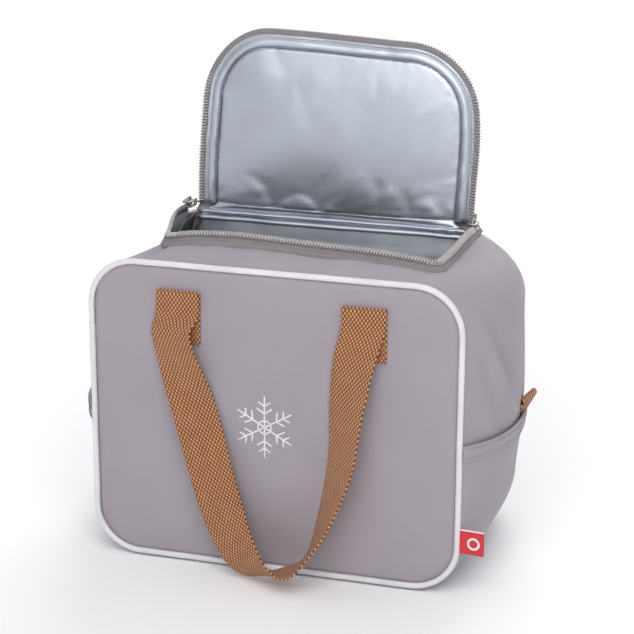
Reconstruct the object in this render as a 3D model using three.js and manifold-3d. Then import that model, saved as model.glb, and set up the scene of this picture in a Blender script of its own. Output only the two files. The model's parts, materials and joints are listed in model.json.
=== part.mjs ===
// Insulated cooler bag, standing open: a padded fabric body with a piped front and back panel, a foil-lined lid
// that is hinged along the back of the mouth and zips round its other three sides, two webbing carrying handles,
// and a slip pocket on each side. Millimetres, +Z up, +X to the right of the front panel, +Y towards the back.
// The origin is the centre of the base, on the surface that the bag stands on.
import * as THREE from "three";
import { mergeVertices } from "three/addons/utils/BufferGeometryUtils.js";
import Module from "manifold-3d";

const wasm = await Module();
wasm.setup();

// ---------------------------------------------------------------- driving dimensions

const GAP = 0.3; // between sewn pieces
const WALL_GAP = 0.7; // between the layers of a wall
const SKIN = 1.4; // outer fabric with its backing
const FOAM = 5; // insulation
const LINER = 0.8; // foil lining

const PANEL_HALF_WIDTH = 150; // front and back panels, to the centre of the piping
const PANEL_BOTTOM = 4;
const PANEL_TOP = 249;
const PANEL_CORNER = 37;
const FRONT_Y = -90;
const BACK_Y = 90; // at the base
const BACK_LEAN = 14; // the back panel comes this far forward at its top
const BODY_TOP = 252;
const BELLY = 29; // the sides stand this far out beyond the piping, half way back
const POCKET_PINCH = 12; // and this much less behind the pockets
const PINCH_FROM = 150; // height above which the pockets no longer pull the side in
const PINCH_FULL = 95;
const TOP_CORNER_EXTRA = 8; // the body's edges are rounder half way back than at the panels
const BASE_CORNER_EXTRA = 13;
const LEFT_SLUMP = 20; // the left shoulder has sunk in by this much between the mouth and the side
const SLUMP_BIAS = 1.6; // above 1, the slump is deepest nearer the mouth than the side
const SLUMP_FADE = 1.5; // above 1, it fades sooner towards the front and back
const PIPING_RADIUS = 2.4;

const MOUTH_HALF_WIDTH = 127.5; // top edge of the side panels
const MOUTH_FRONT_Y = -66; // inner edge of the front gusset
const LIP_RISE = 13; // the front lip stands this far above the sides
const LIP_HALF_WIDTH = 117; // and runs out this far from the middle
const LIP_START_Y = -30; // the rim starts to rise here
const LIP_FULL_Y = -58;
const GUSSET_INSET = 1.5; // the front gusset is this much narrower than the mouth at each end
const TAPE_SIDE_INSET = 0.7; // from the mouth's edge to the zip tape's outer edge
const TAPE_FRONT_INSET = 0.5;
const TAPE_WIDTH = 7;
const TAPE_THICKNESS = 0.9;
const TAPE_CORNER = 14;
const TAPE_BACK_Y = 70;
const COIL_RADIUS = 1.1;

const HINGE = { y: 74, z: 257 };
const HINGE_ROLL_RADIUS = 3;
const HINGE_ROLL_HALF_LENGTH = 107;
const LID_LEAN = THREE.MathUtils.degToRad(3.8); // the open lid leans back
const LID_START = 4.5; // clear of the hinge line
const LID_LENGTH = 141;
const LID_HALF_WIDTH = 112;
const LID_CORNER = 46;
const LID_BASE_CORNER = 4; // rounding next to the hinge, where the zip tape starts

const SLIDER = { length: 11, frontY: 54, inner: 5.7, outer: 3.8, neck: 1.5, half: 3.2, plate: 1.2 };
const BAIL = { inset: 4.6, y: 67, lift: 2.6, radius: 2.6, wire: 0.7 };
const PULL = { width: 5, length: 20, thickness: 1.2, top: 1.5, holeHalf: 1.1, holeEnd: 3.7 };
const PULL_REST = THREE.MathUtils.degToRad(77); // the pull lies back over the rim, this far up from hanging

const WEBBING_WIDTH = 35;
const WEBBING = 1.8; // thickness
const HANDLE_X = 75; // centre of each sewn end
const HANDLE_FOLD_Z = 226.5;
const HANDLE_END_Z = 187; // lower, cut edge of the sewn end
const HANDLE_AXIS_OUT = 4.3; // fold line, in front of the panel's plane
const FOLD_RADIUS = 2.4;

const POCKET_TOP = 122;
const POCKET_HEM = 12;
const POCKET_BASE = 14;
const POCKET_GAPE = 9; // the hem stands this far off the side
const POCKET_SKIN = 1.2;
const HEM_SKIN = 2;

const TAB = { y: 4, width: 22, bottom: 104, top: 138, thickness: 2.2, lean: 4 };
const LABEL = { left: 152.8, width: 18.5, bottom: 37, height: 20, thickness: 0.8 };

// ---------------------------------------------------------------- closed surfaces

const vec = (x, y, z) => new THREE.Vector3(x, y, z);
const { lerp, clamp, smoothstep } = THREE.MathUtils;

// A geometry from points and triangles, turned so that its faces point out.
function closedGeometry(points, triangles) {
  let volume = 0;
  for (const [a, b, c] of triangles) volume += points[a].dot(points[b].clone().cross(points[c])) / 6;
  const index = triangles.flatMap(([a, b, c]) => (volume < 0 ? [a, c, b] : [a, b, c]));
  const geometry = new THREE.BufferGeometry().setFromPoints(points);
  geometry.setIndex(index);
  geometry.computeVertexNormals();
  return geometry;
}

// The unit normal of a surface (u, v) => point, by central differences.
function normalAt(surface, u, v) {
  const step = 1e-4;
  const alongU = surface(u + step, v).sub(surface(u - step, v));
  const alongV = surface(u, v + step).sub(surface(u, v - step));
  return alongU.cross(alongV).normalize();
}

// A sheet of cloth or foam: the patch 0..1 by 0..1 of a surface, thick from one offset to the other.
function slab(surface, uSteps, vSteps, near, far) {
  const points = [];
  for (const offset of [near, far])
    for (let i = 0; i <= uSteps; i++)
      for (let j = 0; j <= vSteps; j++) {
        const [u, v] = [i / uSteps, j / vSteps];
        points.push(surface(u, v).addScaledVector(normalAt(surface, u, v), offset));
      }
  const layer = (uSteps + 1) * (vSteps + 1);
  const at = (k, i, j) => k * layer + i * (vSteps + 1) + j;
  const triangles = [];
  const quad = (a, b, c, d) => triangles.push([a, b, c], [a, c, d]);
  for (let i = 0; i < uSteps; i++)
    for (let j = 0; j < vSteps; j++) {
      quad(at(0, i, j), at(0, i + 1, j), at(0, i + 1, j + 1), at(0, i, j + 1));
      quad(at(1, i, j), at(1, i, j + 1), at(1, i + 1, j + 1), at(1, i + 1, j));
    }
  for (let i = 0; i < uSteps; i++) {
    quad(at(0, i, 0), at(1, i, 0), at(1, i + 1, 0), at(0, i + 1, 0));
    quad(at(0, i, vSteps), at(0, i + 1, vSteps), at(1, i + 1, vSteps), at(1, i, vSteps));
  }
  for (let j = 0; j < vSteps; j++) {
    quad(at(0, 0, j), at(0, 0, j + 1), at(1, 0, j + 1), at(1, 0, j));
    quad(at(0, uSteps, j), at(1, uSteps, j), at(1, uSteps, j + 1), at(0, uSteps, j + 1));
  }
  return closedGeometry(points, triangles);
}

// A round rod along a list of points: a ring where the path closes on itself, otherwise capped at both ends.
function rod(path, radius, sides, closed) {
  const count = path.length;
  const points = [];
  path.forEach((p, i) => {
    const before = path[closed ? (i + count - 1) % count : Math.max(i - 1, 0)];
    const after = path[closed ? (i + 1) % count : Math.min(i + 1, count - 1)];
    const along = after.clone().sub(before).normalize();
    const across = Math.abs(along.y) > 0.9 ? vec(1, 0, 0) : vec(0, 1, 0);
    const first = across.addScaledVector(along, -across.dot(along)).normalize();
    const second = along.clone().cross(first);
    for (let k = 0; k < sides; k++) {
      const angle = (2 * Math.PI * k) / sides;
      const spoke = first.clone().multiplyScalar(Math.cos(angle)).addScaledVector(second, Math.sin(angle));
      points.push(p.clone().addScaledVector(spoke, radius));
    }
  });
  const triangles = [];
  for (let i = 0; i < (closed ? count : count - 1); i++)
    for (let k = 0; k < sides; k++) {
      const [a, b] = [i * sides + k, i * sides + ((k + 1) % sides)];
      const next = ((i + 1) % count) * sides;
      const [c, d] = [next + ((k + 1) % sides), next + k];
      triangles.push([a, b, c], [a, c, d]);
    }
  if (!closed)
    for (let k = 1; k < sides - 1; k++) {
      const end = (count - 1) * sides;
      triangles.push([0, k + 1, k], [end, end + k, end + k + 1]);
    }
  return closedGeometry(points, triangles);
}

// The mirror image of a closed geometry in the plane x = 0.
function mirrored(geometry) {
  const position = geometry.getAttribute("position");
  const points = [];
  for (let i = 0; i < position.count; i++) points.push(vec(-position.getX(i), position.getY(i), position.getZ(i)));
  const index = geometry.index ? [...geometry.index.array] : points.map((_, i) => i);
  const triangles = [];
  for (let i = 0; i < index.length; i += 3) triangles.push(index.slice(i, i + 3));
  return closedGeometry(points, triangles);
}

// Several closed geometries joined into one solid.
function joined(...geometries) {
  const solids = geometries.map((geometry) => {
    const bare = new THREE.BufferGeometry().setAttribute("position", geometry.getAttribute("position").clone());
    if (geometry.index) bare.setIndex(geometry.index.clone());
    const merged = mergeVertices(bare, 1e-3);
    return new wasm.Manifold(
      new wasm.Mesh({
        numProp: 3,
        vertProperties: new Float32Array(merged.getAttribute("position").array),
        triVerts: new Uint32Array(merged.index.array),
      }),
    );
  });
  const mesh = solids.reduce((sum, solid) => sum.add(solid)).getMesh();
  const geometry = new THREE.BufferGeometry();
  geometry.setAttribute("position", new THREE.BufferAttribute(mesh.vertProperties, 3));
  geometry.setIndex(new THREE.BufferAttribute(mesh.triVerts, 1));
  geometry.computeVertexNormals();
  return geometry;
}

// A shape drawn in x and z, thick from y = near to y = far.
function plate(shape, near, far, curveSegments = 6) {
  const geometry = new THREE.ExtrudeGeometry(shape, { depth: far - near, bevelEnabled: false, curveSegments });
  return geometry.rotateX(Math.PI / 2).translate(0, far, 0);
}

function roundedRectangle(halfWidth, bottom, top, radius, bottomRadius = radius) {
  const shape = new THREE.Shape();
  const [left, right, rise] = [bottomRadius - halfWidth, halfWidth - bottomRadius, bottom + bottomRadius];
  shape.moveTo(left, bottom);
  shape.lineTo(right, bottom);
  if (bottomRadius) shape.absarc(right, rise, bottomRadius, -Math.PI / 2, 0);
  shape.lineTo(halfWidth, top - radius);
  shape.absarc(halfWidth - radius, top - radius, radius, 0, Math.PI / 2);
  shape.lineTo(-halfWidth + radius, top);
  shape.absarc(-halfWidth + radius, top - radius, radius, Math.PI / 2, Math.PI);
  shape.lineTo(-halfWidth, rise);
  if (bottomRadius) shape.absarc(left, rise, bottomRadius, Math.PI, 1.5 * Math.PI);
  return shape;
}

// ---------------------------------------------------------------- form of the body

// Depth is -1 at the front piping and 1 at the back piping. The back panel leans forward.
const bodyY = (depth, z) => lerp(FRONT_Y, BACK_Y - (BACK_LEAN * z) / PANEL_TOP, (depth + 1) / 2);
const swell = (depth) => 1 - depth * depth;
const pinch = (depth, z) => POCKET_PINCH * swell(depth) * (1 - smoothstep(z, PINCH_FULL, PINCH_FROM));
const bodyHalfWidth = (depth) => PANEL_HALF_WIDTH + BELLY * swell(depth);
const topRadius = (depth) => PANEL_CORNER + TOP_CORNER_EXTRA * swell(depth);
const baseRadius = (depth) => PANEL_CORNER + BASE_CORNER_EXTRA * swell(depth);
const bodyPoint = (x, depth, z) => vec(x, bodyY(depth, z), z);

// A side, drawn on the right, from the base seam (along = 0), up the side and over its shoulder to the mouth
// (along = 1). slump is how far the shoulder has sunk in.
function sideSurface(along, depth, slump = 0) {
  const half = bodyHalfWidth(depth);
  const [low, high] = [baseRadius(depth), topRadius(depth)];
  const overTop = Math.acos(clamp((MOUTH_HALF_WIDTH - half + high) / high, 0, 1));
  const lengths = [
    (low * Math.PI) / 2,
    BODY_TOP - low - high,
    high * overTop,
    Math.max(half - high - MOUTH_HALF_WIDTH, 0),
  ];
  const distance = along * lengths.reduce((a, b) => a + b);
  let s = distance;
  let [x, z] = [0, 0];
  if (s < lengths[0]) {
    x = half - low + low * Math.sin(s / low);
    z = low - low * Math.cos(s / low);
  } else if ((s -= lengths[0]) < lengths[1]) {
    x = half;
    z = low + s;
  } else if ((s -= lengths[1]) < lengths[2]) {
    x = half - high + high * Math.cos(s / high);
    z = BODY_TOP - high + high * Math.sin(s / high);
  } else {
    x = half - high - (s - lengths[2]) + high * Math.cos(overTop);
    z = BODY_TOP - high + high * Math.sin(overTop);
  }
  const shoulder = clamp((distance - lengths[0] - lengths[1]) / (lengths[2] + lengths[3]), 0, 1);
  const sunk = slump * Math.sin(Math.PI * shoulder ** SLUMP_BIAS) * swell(depth) ** SLUMP_FADE * Math.SQRT1_2;
  return bodyPoint(x - sunk - pinch(depth, z), depth, z - sunk);
}

// The share of the way along the side, at one depth, where it reaches a height.
function alongAtHeight(depth, z) {
  let [low, high] = [0, 1];
  for (let i = 0; i < 24; i++) {
    const middle = (low + high) / 2;
    if (sideSurface(middle, depth).z < z) low = middle;
    else high = middle;
  }
  return low;
}

// Outward unit normal of the right side.
const sideNormal = (along, depth) => normalAt(sideSurface, along, depth).negate();

// A strip of the right side between two heights and two depths, standing off it by standOff(z, depth).
function sideStrip(bottom, top, frontDepth, backDepth, standOff) {
  return (u, v) => {
    const depth = lerp(frontDepth, backDepth, v);
    const z = lerp(bottom, top, u);
    const along = alongAtHeight(depth, z);
    return sideSurface(along, depth).addScaledVector(sideNormal(along, depth), standOff(z, depth));
  };
}

const SKIN_DEPTH = 0.965; // the side panels stop short of the piping
const FOAM_DEPTH = 0.9; // and the side foam and lining stop at the front and back linings
const SEAM = 0.002; // share of the base's width left open at the base seams

// Depths of a wall's sample lines. All its layers share them, and each adds its own edge at either end.
const DEPTH_LINES = [-0.885, -0.6, -0.2, 0.2, 0.6, 0.885];
const DEPTH_STEPS = DEPTH_LINES.length + 1;

function wallDepth(limit, v) {
  const lines = [-limit, ...DEPTH_LINES, limit];
  const i = clamp(Math.floor(v * DEPTH_STEPS), 0, DEPTH_STEPS - 1);
  return lerp(lines[i], lines[i + 1], v * DEPTH_STEPS - i);
}

const sidePatch = (depthLimit, slump) => (u, v) => sideSurface(u, wallDepth(depthLimit, v), slump);

function basePatch(depthLimit) {
  return (u, v) => {
    const depth = wallDepth(depthLimit, v);
    const half = bodyHalfWidth(depth) - baseRadius(depth) - pinch(depth, 0);
    return bodyPoint(lerp(-half, half, lerp(SEAM, 1 - SEAM, u)), depth, 0);
  };
}

// Layers of each wall, as distances inward from its outer face.
const layers = {
  panel: [0, SKIN],
  foam: [SKIN + WALL_GAP, SKIN + WALL_GAP + FOAM],
  lining: [SKIN + FOAM + 2 * WALL_GAP, SKIN + FOAM + 2 * WALL_GAP + LINER],
};

const SIDE_STEPS = 16; // up a side
const BASE_STEPS = 4; // across the base
const wallSide = (layer, depthLimit, slump) =>
  slab(sidePatch(depthLimit, slump), SIDE_STEPS, DEPTH_STEPS, ...layers[layer]);
const wallBase = (layer, depthLimit) => slab(basePatch(depthLimit), BASE_STEPS, DEPTH_STEPS, ...layers[layer]);

// Front and back walls are flat plates inside the piping. Each lies in its own upright frame, outer face at -1.
const PANEL_PROUD = 1;
const panelOutline = () => {
  const inset = PIPING_RADIUS + GAP;
  return roundedRectangle(PANEL_HALF_WIDTH - inset, PANEL_BOTTOM + inset, PANEL_TOP - inset, PANEL_CORNER - inset);
};
const wallPanel = (layer) => plate(panelOutline(), ...layers[layer].map((d) => d - PANEL_PROUD));

function pipingRing() {
  const outline = roundedRectangle(PANEL_HALF_WIDTH, PANEL_BOTTOM, PANEL_TOP, PANEL_CORNER);
  const path = outline.getPoints(6).map((p) => vec(p.x, 0, p.y));
  return rod(dropRepeats(path), PIPING_RADIUS, 7, true);
}

function dropRepeats(path) {
  const kept = path.filter((p, i) => i === 0 || p.distanceTo(path[i - 1]) > 0.01);
  if (kept[0].distanceTo(kept[kept.length - 1]) < 0.01) kept.pop();
  return kept;
}

// ---------------------------------------------------------------- mouth

// Height of the mouth's rim: level along the sides, and rising to a lip at the front.
function rimHeight(x, y) {
  const forward = smoothstep(-y, -LIP_START_Y, -LIP_FULL_Y);
  const inward = Math.max(0, 1 - (Math.abs(x) / LIP_HALF_WIDTH) ** 4);
  return BODY_TOP + LIP_RISE * forward * inward;
}

function frontGusset() {
  const half = MOUTH_HALF_WIDTH - GUSSET_INSET;
  const outerY = bodyY(-SKIN_DEPTH, BODY_TOP);
  const surface = (u, v) => {
    const [x, y] = [lerp(-half, half, u), lerp(outerY, MOUTH_FRONT_Y, v)];
    const corner = Math.max(Math.abs(x) - (PANEL_HALF_WIDTH - PANEL_CORNER), 0);
    const edge = BODY_TOP - PANEL_CORNER + Math.sqrt(PANEL_CORNER ** 2 - corner ** 2);
    return vec(x, y, lerp(edge, rimHeight(x, MOUTH_FRONT_Y), v));
  };
  return slab(surface, 18, 2, 0, -SKIN);
}

// The U-shaped line round the mouth, from the back left, forward, across the front and back along the right,
// at a distance inside the tape's outer edge.
function mouthLine(inset) {
  const half = MOUTH_HALF_WIDTH - TAPE_SIDE_INSET - inset;
  const front = MOUTH_FRONT_Y + TAPE_FRONT_INSET + inset;
  const radius = TAPE_CORNER - inset / 2;
  const steps = 5;
  const corner = (side, from, to) => {
    const turn = [];
    for (let i = 0; i <= steps; i++) {
      const angle = lerp(from, to, i / steps);
      turn.push([side * (half - radius) + radius * Math.cos(angle), front + radius + radius * Math.sin(angle)]);
    }
    return turn;
  };
  const straight = (a, b, parts) =>
    Array.from({ length: parts - 1 }, (_, i) => [lerp(a[0], b[0], (i + 1) / parts), lerp(a[1], b[1], (i + 1) / parts)]);
  const left = corner(-1, Math.PI, 1.5 * Math.PI);
  const right = corner(1, 1.5 * Math.PI, 2 * Math.PI);
  const ends = [[-half, TAPE_BACK_Y], [half, TAPE_BACK_Y]];
  const route = [
    ends[0],
    ...straight(ends[0], left[0], 3),
    ...left,
    ...straight(left[steps], right[0], 10),
    ...right,
    ...straight(right[steps], ends[1], 3),
    ends[1],
  ];
  return route.map(([x, y]) => vec(x, y, rimHeight(x, y)));
}

// A flat band between two lines that have the same number of points.
function band(outer, inner, near, far) {
  const last = outer.length - 1;
  const pick = (line, u) => {
    const i = clamp(Math.floor(u * last), 0, last - 1);
    return line[i].clone().lerp(line[i + 1], u * last - i);
  };
  const surface = (u, v) => pick(outer, u).lerp(pick(inner, u), v);
  return slab(surface, last, 1, near, far);
}

const coilInset = TAPE_WIDTH + GAP + COIL_RADIUS;

// ---------------------------------------------------------------- lid

// The lid's frame: z runs up the open lid from the hinge line, and y runs from its lining towards its outer face.
const lidOutline = (inset) =>
  roundedRectangle(LID_HALF_WIDTH - inset, LID_START + inset, LID_LENGTH - inset, LID_CORNER - inset, LID_BASE_CORNER);
const lidLayers = {
  lining: [0, LINER],
  foam: [LINER + GAP, LINER + GAP + FOAM],
  panel: [LINER + FOAM + 2 * GAP, LINER + FOAM + 2 * GAP + SKIN],
};
const lidLayer = (layer) => plate(lidOutline(0), ...lidLayers[layer]);

function lidLine(outset) {
  const half = LID_HALF_WIDTH + outset;
  const top = LID_LENGTH + outset;
  const radius = LID_CORNER + outset;
  const arch = new THREE.Path();
  arch.moveTo(half, LID_START + LID_BASE_CORNER);
  arch.lineTo(half, top - radius);
  arch.absarc(half - radius, top - radius, radius, 0, Math.PI / 2);
  arch.lineTo(-half + radius, top);
  arch.absarc(-half + radius, top - radius, radius, Math.PI / 2, Math.PI);
  arch.lineTo(-half, LID_START + LID_BASE_CORNER);
  return dropRepeats(arch.getPoints(7).map((p) => vec(p.x, 0, p.y)));
}

// ---------------------------------------------------------------- zip sliders and pulls

const coilX = MOUTH_HALF_WIDTH - TAPE_SIDE_INSET - coilInset;

// A C-shaped slider that wraps the right-hand coil from the mouth side, with a ring behind it for the pull.
function sliderGeometry() {
  const { inner, outer, neck, half, plate: wall, length, frontY } = SLIDER;
  const profile = new THREE.Shape(
    [
      [-inner, -half], [outer, -half], [outer, -half + wall], [-neck, -half + wall],
      [-neck, half - wall], [outer, half - wall], [outer, half], [-inner, half],
    ].map(([x, z]) => new THREE.Vector2(x, z)),
  );
  const body = plate(profile, frontY, frontY + length).translate(coilX, 0, BODY_TOP);
  const ring = new THREE.TorusGeometry(BAIL.radius, BAIL.wire, 6, 14).rotateY(Math.PI / 2);
  ring.translate(coilX - BAIL.inset, BAIL.y, BODY_TOP + BAIL.lift);
  return joined(body, ring);
}

// A pull tab that hangs from the ring, in its own frame with the ring's centre at the origin.
function pullGeometry() {
  const tab = new THREE.Shape();
  const half = PULL.width / 2;
  tab.moveTo(-half, -PULL.top + 1);
  tab.lineTo(-half, -PULL.length + half);
  tab.absarc(0, -PULL.length + half, half, Math.PI, 2 * Math.PI);
  tab.lineTo(half, -PULL.top + 1);
  const hole = new THREE.Path();
  hole.moveTo(-PULL.holeHalf, -PULL.top);
  hole.lineTo(PULL.holeHalf, -PULL.top);
  hole.lineTo(PULL.holeHalf, -PULL.holeEnd);
  hole.lineTo(-PULL.holeHalf, -PULL.holeEnd);
  tab.holes.push(hole);
  return plate(tab, -PULL.thickness / 2, PULL.thickness / 2);
}

// ---------------------------------------------------------------- handles

// The loop's route in the panel's frame, hanging from both fold lines: each stop is the middle of the webbing
// and the direction across it. It turns edge-on at the bottom, where it lies a hand's breadth from the panel.
const LOOP_STOPS = [
  { at: [-75, -5.2, 223], across: [1, 0, 0] },
  { at: [-78, -6, 196], across: [1, -0.02, 0.03] },
  { at: [-68, -8, 150], across: [0.96, -0.08, 0.26] },
  { at: [-52, -12, 105], across: [0.94, -0.14, 0.3] },
  { at: [-37, -18, 66], across: [0.9, -0.25, 0.34] },
  { at: [-20, -25, 36], across: [0.7, -0.6, 0.38] },
  { at: [0, -29, 20], across: [0.35, -0.9, 0.2] },
  { at: [20, -29, 19], across: [0.05, -1, 0.02] },
  { at: [36, -26, 34], across: [0.25, -0.95, -0.18] },
  { at: [49, -21, 65], across: [0.65, -0.7, -0.18] },
  { at: [59, -13, 115], across: [0.93, -0.32, -0.12] },
  { at: [66, -7, 170], across: [1, -0.05, -0.1] },
  { at: [75, -5.2, 223], across: [1, 0, 0] },
];

function handleLoop() {
  const centre = new THREE.CatmullRomCurve3(LOOP_STOPS.map((stop) => vec(...stop.at)));
  const across = new THREE.CatmullRomCurve3(LOOP_STOPS.map((stop) => vec(...stop.across)));
  const surface = (u, v) => {
    const t = clamp(u, 0, 1);
    const spread = across.getPoint(t).normalize().multiplyScalar((v - 0.5) * WEBBING_WIDTH);
    return centre.getPoint(t).add(spread);
  };
  return slab(surface, 36, 2, -WEBBING / 2, WEBBING / 2);
}

// A sewn-down strap end: flat on the panel, with the rolled fold that the loop hangs from at its top.
function strapEnd() {
  const flat = new THREE.BoxGeometry(WEBBING_WIDTH, WEBBING, HANDLE_FOLD_Z - HANDLE_END_Z);
  const outerFace = -PANEL_PROUD - GAP;
  flat.translate(0, outerFace - WEBBING / 2, (HANDLE_FOLD_Z + HANDLE_END_Z) / 2);
  const fold = new THREE.CylinderGeometry(FOLD_RADIUS, FOLD_RADIUS, WEBBING_WIDTH, 16);
  fold.rotateZ(Math.PI / 2).translate(0, -HANDLE_AXIS_OUT, HANDLE_FOLD_Z);
  return joined(flat, fold);
}

// ---------------------------------------------------------------- pockets, tab and label

const POCKET_DEPTH = 0.94;
const gape = (z, depth) => WALL_GAP + POCKET_GAPE * clamp(z / POCKET_TOP, 0, 1) * (1 - depth ** 4);

const pocketPanel = () =>
  slab(sideStrip(POCKET_BASE, POCKET_TOP - POCKET_HEM - 0.5, -POCKET_DEPTH, POCKET_DEPTH, gape), 8, 8, 0, -POCKET_SKIN);
const pocketHem = () =>
  slab(sideStrip(POCKET_TOP - POCKET_HEM, POCKET_TOP, -POCKET_DEPTH, POCKET_DEPTH, gape), 1, 8, 0, -HEM_SKIN);

function sideTab() {
  const depthAt = (y) => (2 * (y - FRONT_Y)) / (BACK_Y - FRONT_Y) - 1;
  const lean = (z) => 2 * GAP + TAB.lean * smoothstep(z, POCKET_TOP - POCKET_HEM, TAB.top);
  const strip = sideStrip(TAB.bottom, TAB.top, depthAt(TAB.y), depthAt(TAB.y + TAB.width), lean);
  return slab(strip, 4, 2, 0, -TAB.thickness);
}

function sideLabel() {
  const { left, width, bottom, height, thickness } = LABEL;
  const outline = new THREE.Shape();
  outline.moveTo(left, bottom);
  outline.lineTo(left + width, bottom);
  outline.lineTo(left + width, bottom + height);
  outline.lineTo(left, bottom + height);
  return plate(outline, FRONT_Y - thickness / 2, FRONT_Y + thickness / 2);
}

// ---------------------------------------------------------------- materials

const material = (color, roughness, metalness = 0) => new THREE.MeshStandardMaterial({ color, roughness, metalness });
const cloth = material(0xa69fa5, 0.85);
const pipingCloth = material(0xdcdcda, 0.6);
const foil = material(0xb4b9be, 0.3, 0.6);
const foam = material(0xe8e8e6, 0.9);
const zipTape = material(0x8f8684, 0.8);
const zipCoil = material(0x6f6866, 0.5);
const metal = material(0xa8a8a8, 0.3, 1);
const webbing = material(0x9c5f2c, 0.8);
const labelCloth = material(0xc8202e, 0.7);

// ---------------------------------------------------------------- assembly

const bag = new THREE.Group();
const backLean = Math.atan(BACK_LEAN / PANEL_TOP);

const add = (parent, name, geometry, finish) => {
  const mesh = new THREE.Mesh(geometry, finish);
  mesh.name = name;
  parent.add(mesh);
  return mesh;
};

// The front and back share one set of pieces. The back's frame faces the other way and leans.
const front = new THREE.Group();
front.position.y = FRONT_Y;
const back = new THREE.Group();
back.position.y = BACK_Y;
back.rotation.set(backLean, 0, Math.PI, "XYZ");
bag.add(front, back);

const wallMaterials = { panel: cloth, foam, lining: foil };
for (const layer of ["panel", "foam", "lining"]) {
  const depthLimit = layer === "panel" ? SKIN_DEPTH : FOAM_DEPTH;
  const finish = wallMaterials[layer];
  add(front, "front_" + layer, wallPanel(layer), finish);
  add(back, "back_" + layer, wallPanel(layer), finish);
  add(bag, "left_side_" + layer, mirrored(wallSide(layer, depthLimit, LEFT_SLUMP)), finish);
  add(bag, "right_side_" + layer, wallSide(layer, depthLimit, 0), finish);
  add(bag, "base_" + layer, wallBase(layer, depthLimit), finish);
}

for (const [frame, name] of [[front, "front"], [back, "back"]]) {
  add(frame, name + "_piping", pipingRing(), pipingCloth);
  for (const [side, x] of [["left", -HANDLE_X], ["right", HANDLE_X]]) {
    const turned = frame === back ? -x : x;
    add(frame, name + "_handle_" + side + "_end", strapEnd(), webbing).position.x = turned;
  }
  add(frame, name + "_handle_loop", handleLoop(), webbing);
}

add(bag, "front_gusset", frontGusset(), cloth);
add(bag, "mouth_zip_tape", band(mouthLine(0), mouthLine(TAPE_WIDTH), -TAPE_THICKNESS / 2, TAPE_THICKNESS / 2), zipTape);
add(bag, "mouth_zip_coil", rod(mouthLine(coilInset), COIL_RADIUS, 6, false), zipCoil);

const rollEnds = [-HINGE_ROLL_HALF_LENGTH, 0, HINGE_ROLL_HALF_LENGTH].map((x) => vec(x, HINGE.y, HINGE.z));
add(bag, "hinge_roll", rod(rollEnds, HINGE_ROLL_RADIUS, 12, false), foil);

const lid = new THREE.Group();
lid.position.set(0, HINGE.y, HINGE.z);
lid.rotation.x = -LID_LEAN;
bag.add(lid);
for (const [layer, finish] of Object.entries({ lining: foil, foam, panel: cloth }))
  add(lid, "lid_" + layer, lidLayer(layer), finish);
add(lid, "lid_zip_tape", band(lidLine(GAP), lidLine(TAPE_WIDTH), 0, TAPE_THICKNESS), zipTape);
const lidCoil = rod(lidLine(TAPE_WIDTH + GAP + COIL_RADIUS), COIL_RADIUS, 6, false);
add(lid, "lid_zip_coil", lidCoil.translate(0, TAPE_THICKNESS / 2, 0), zipCoil);

const slider = sliderGeometry();
const pull = pullGeometry().rotateX(PULL_REST).translate(coilX - BAIL.inset, BAIL.y, BODY_TOP + BAIL.lift);
const [rightPocket, rightHem] = [pocketPanel(), pocketHem()];
add(bag, "right_slider", slider, metal);
add(bag, "left_slider", mirrored(slider), metal);
add(bag, "right_pull", pull, metal);
add(bag, "left_pull", mirrored(pull), metal);
add(bag, "right_pocket", rightPocket, cloth);
add(bag, "left_pocket", mirrored(rightPocket), cloth);
add(bag, "right_pocket_hem", rightHem, cloth);
add(bag, "left_pocket_hem", mirrored(rightHem), cloth);
add(bag, "side_tab", sideTab(), webbing);
add(bag, "side_label", sideLabel(), labelCloth);

export default bag;
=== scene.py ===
# The look of an insulated cooler bag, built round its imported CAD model: one lofted cloth body, crowned and
# piped panels, a foil-lined lid and inside, zips with real coils, woven handles, pockets and stitching.
# Lengths are millimetres, turned into metres when a mesh is made. +X is right, +Y is back, +Z is up.
import json
import math

import bmesh
import bpy
import numpy as np
from mathutils import Matrix, Vector, noise


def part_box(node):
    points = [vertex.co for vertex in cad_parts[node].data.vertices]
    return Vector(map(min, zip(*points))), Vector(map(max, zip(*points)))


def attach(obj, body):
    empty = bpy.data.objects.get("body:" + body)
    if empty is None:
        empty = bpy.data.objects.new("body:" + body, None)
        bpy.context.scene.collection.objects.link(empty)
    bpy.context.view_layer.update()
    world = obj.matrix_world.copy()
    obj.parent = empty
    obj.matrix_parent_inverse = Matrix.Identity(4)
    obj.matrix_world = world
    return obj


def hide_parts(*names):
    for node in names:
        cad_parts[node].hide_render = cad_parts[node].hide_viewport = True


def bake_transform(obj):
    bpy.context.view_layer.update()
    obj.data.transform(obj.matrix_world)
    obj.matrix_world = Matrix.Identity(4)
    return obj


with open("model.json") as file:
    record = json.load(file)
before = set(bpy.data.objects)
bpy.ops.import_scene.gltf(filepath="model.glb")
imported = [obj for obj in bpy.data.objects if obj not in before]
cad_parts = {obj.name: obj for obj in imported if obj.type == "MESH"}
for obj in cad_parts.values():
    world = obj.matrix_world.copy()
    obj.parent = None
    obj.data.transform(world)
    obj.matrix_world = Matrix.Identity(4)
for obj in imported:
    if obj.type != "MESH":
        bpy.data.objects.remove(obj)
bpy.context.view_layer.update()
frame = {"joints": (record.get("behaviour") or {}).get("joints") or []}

MM = 0.001

# ---------------------------------------------------------------- sizes, from the frame


def box_mm(node):
    """The low and high corners of a CAD node's box."""
    low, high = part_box(node)
    return low / MM, high / MM


def joint_mm(name):
    """A point on a CAD joint's axis."""
    return Vector(next(j for j in frame["joints"] if j["name"] == name)["pos_m"]) / MM


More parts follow.
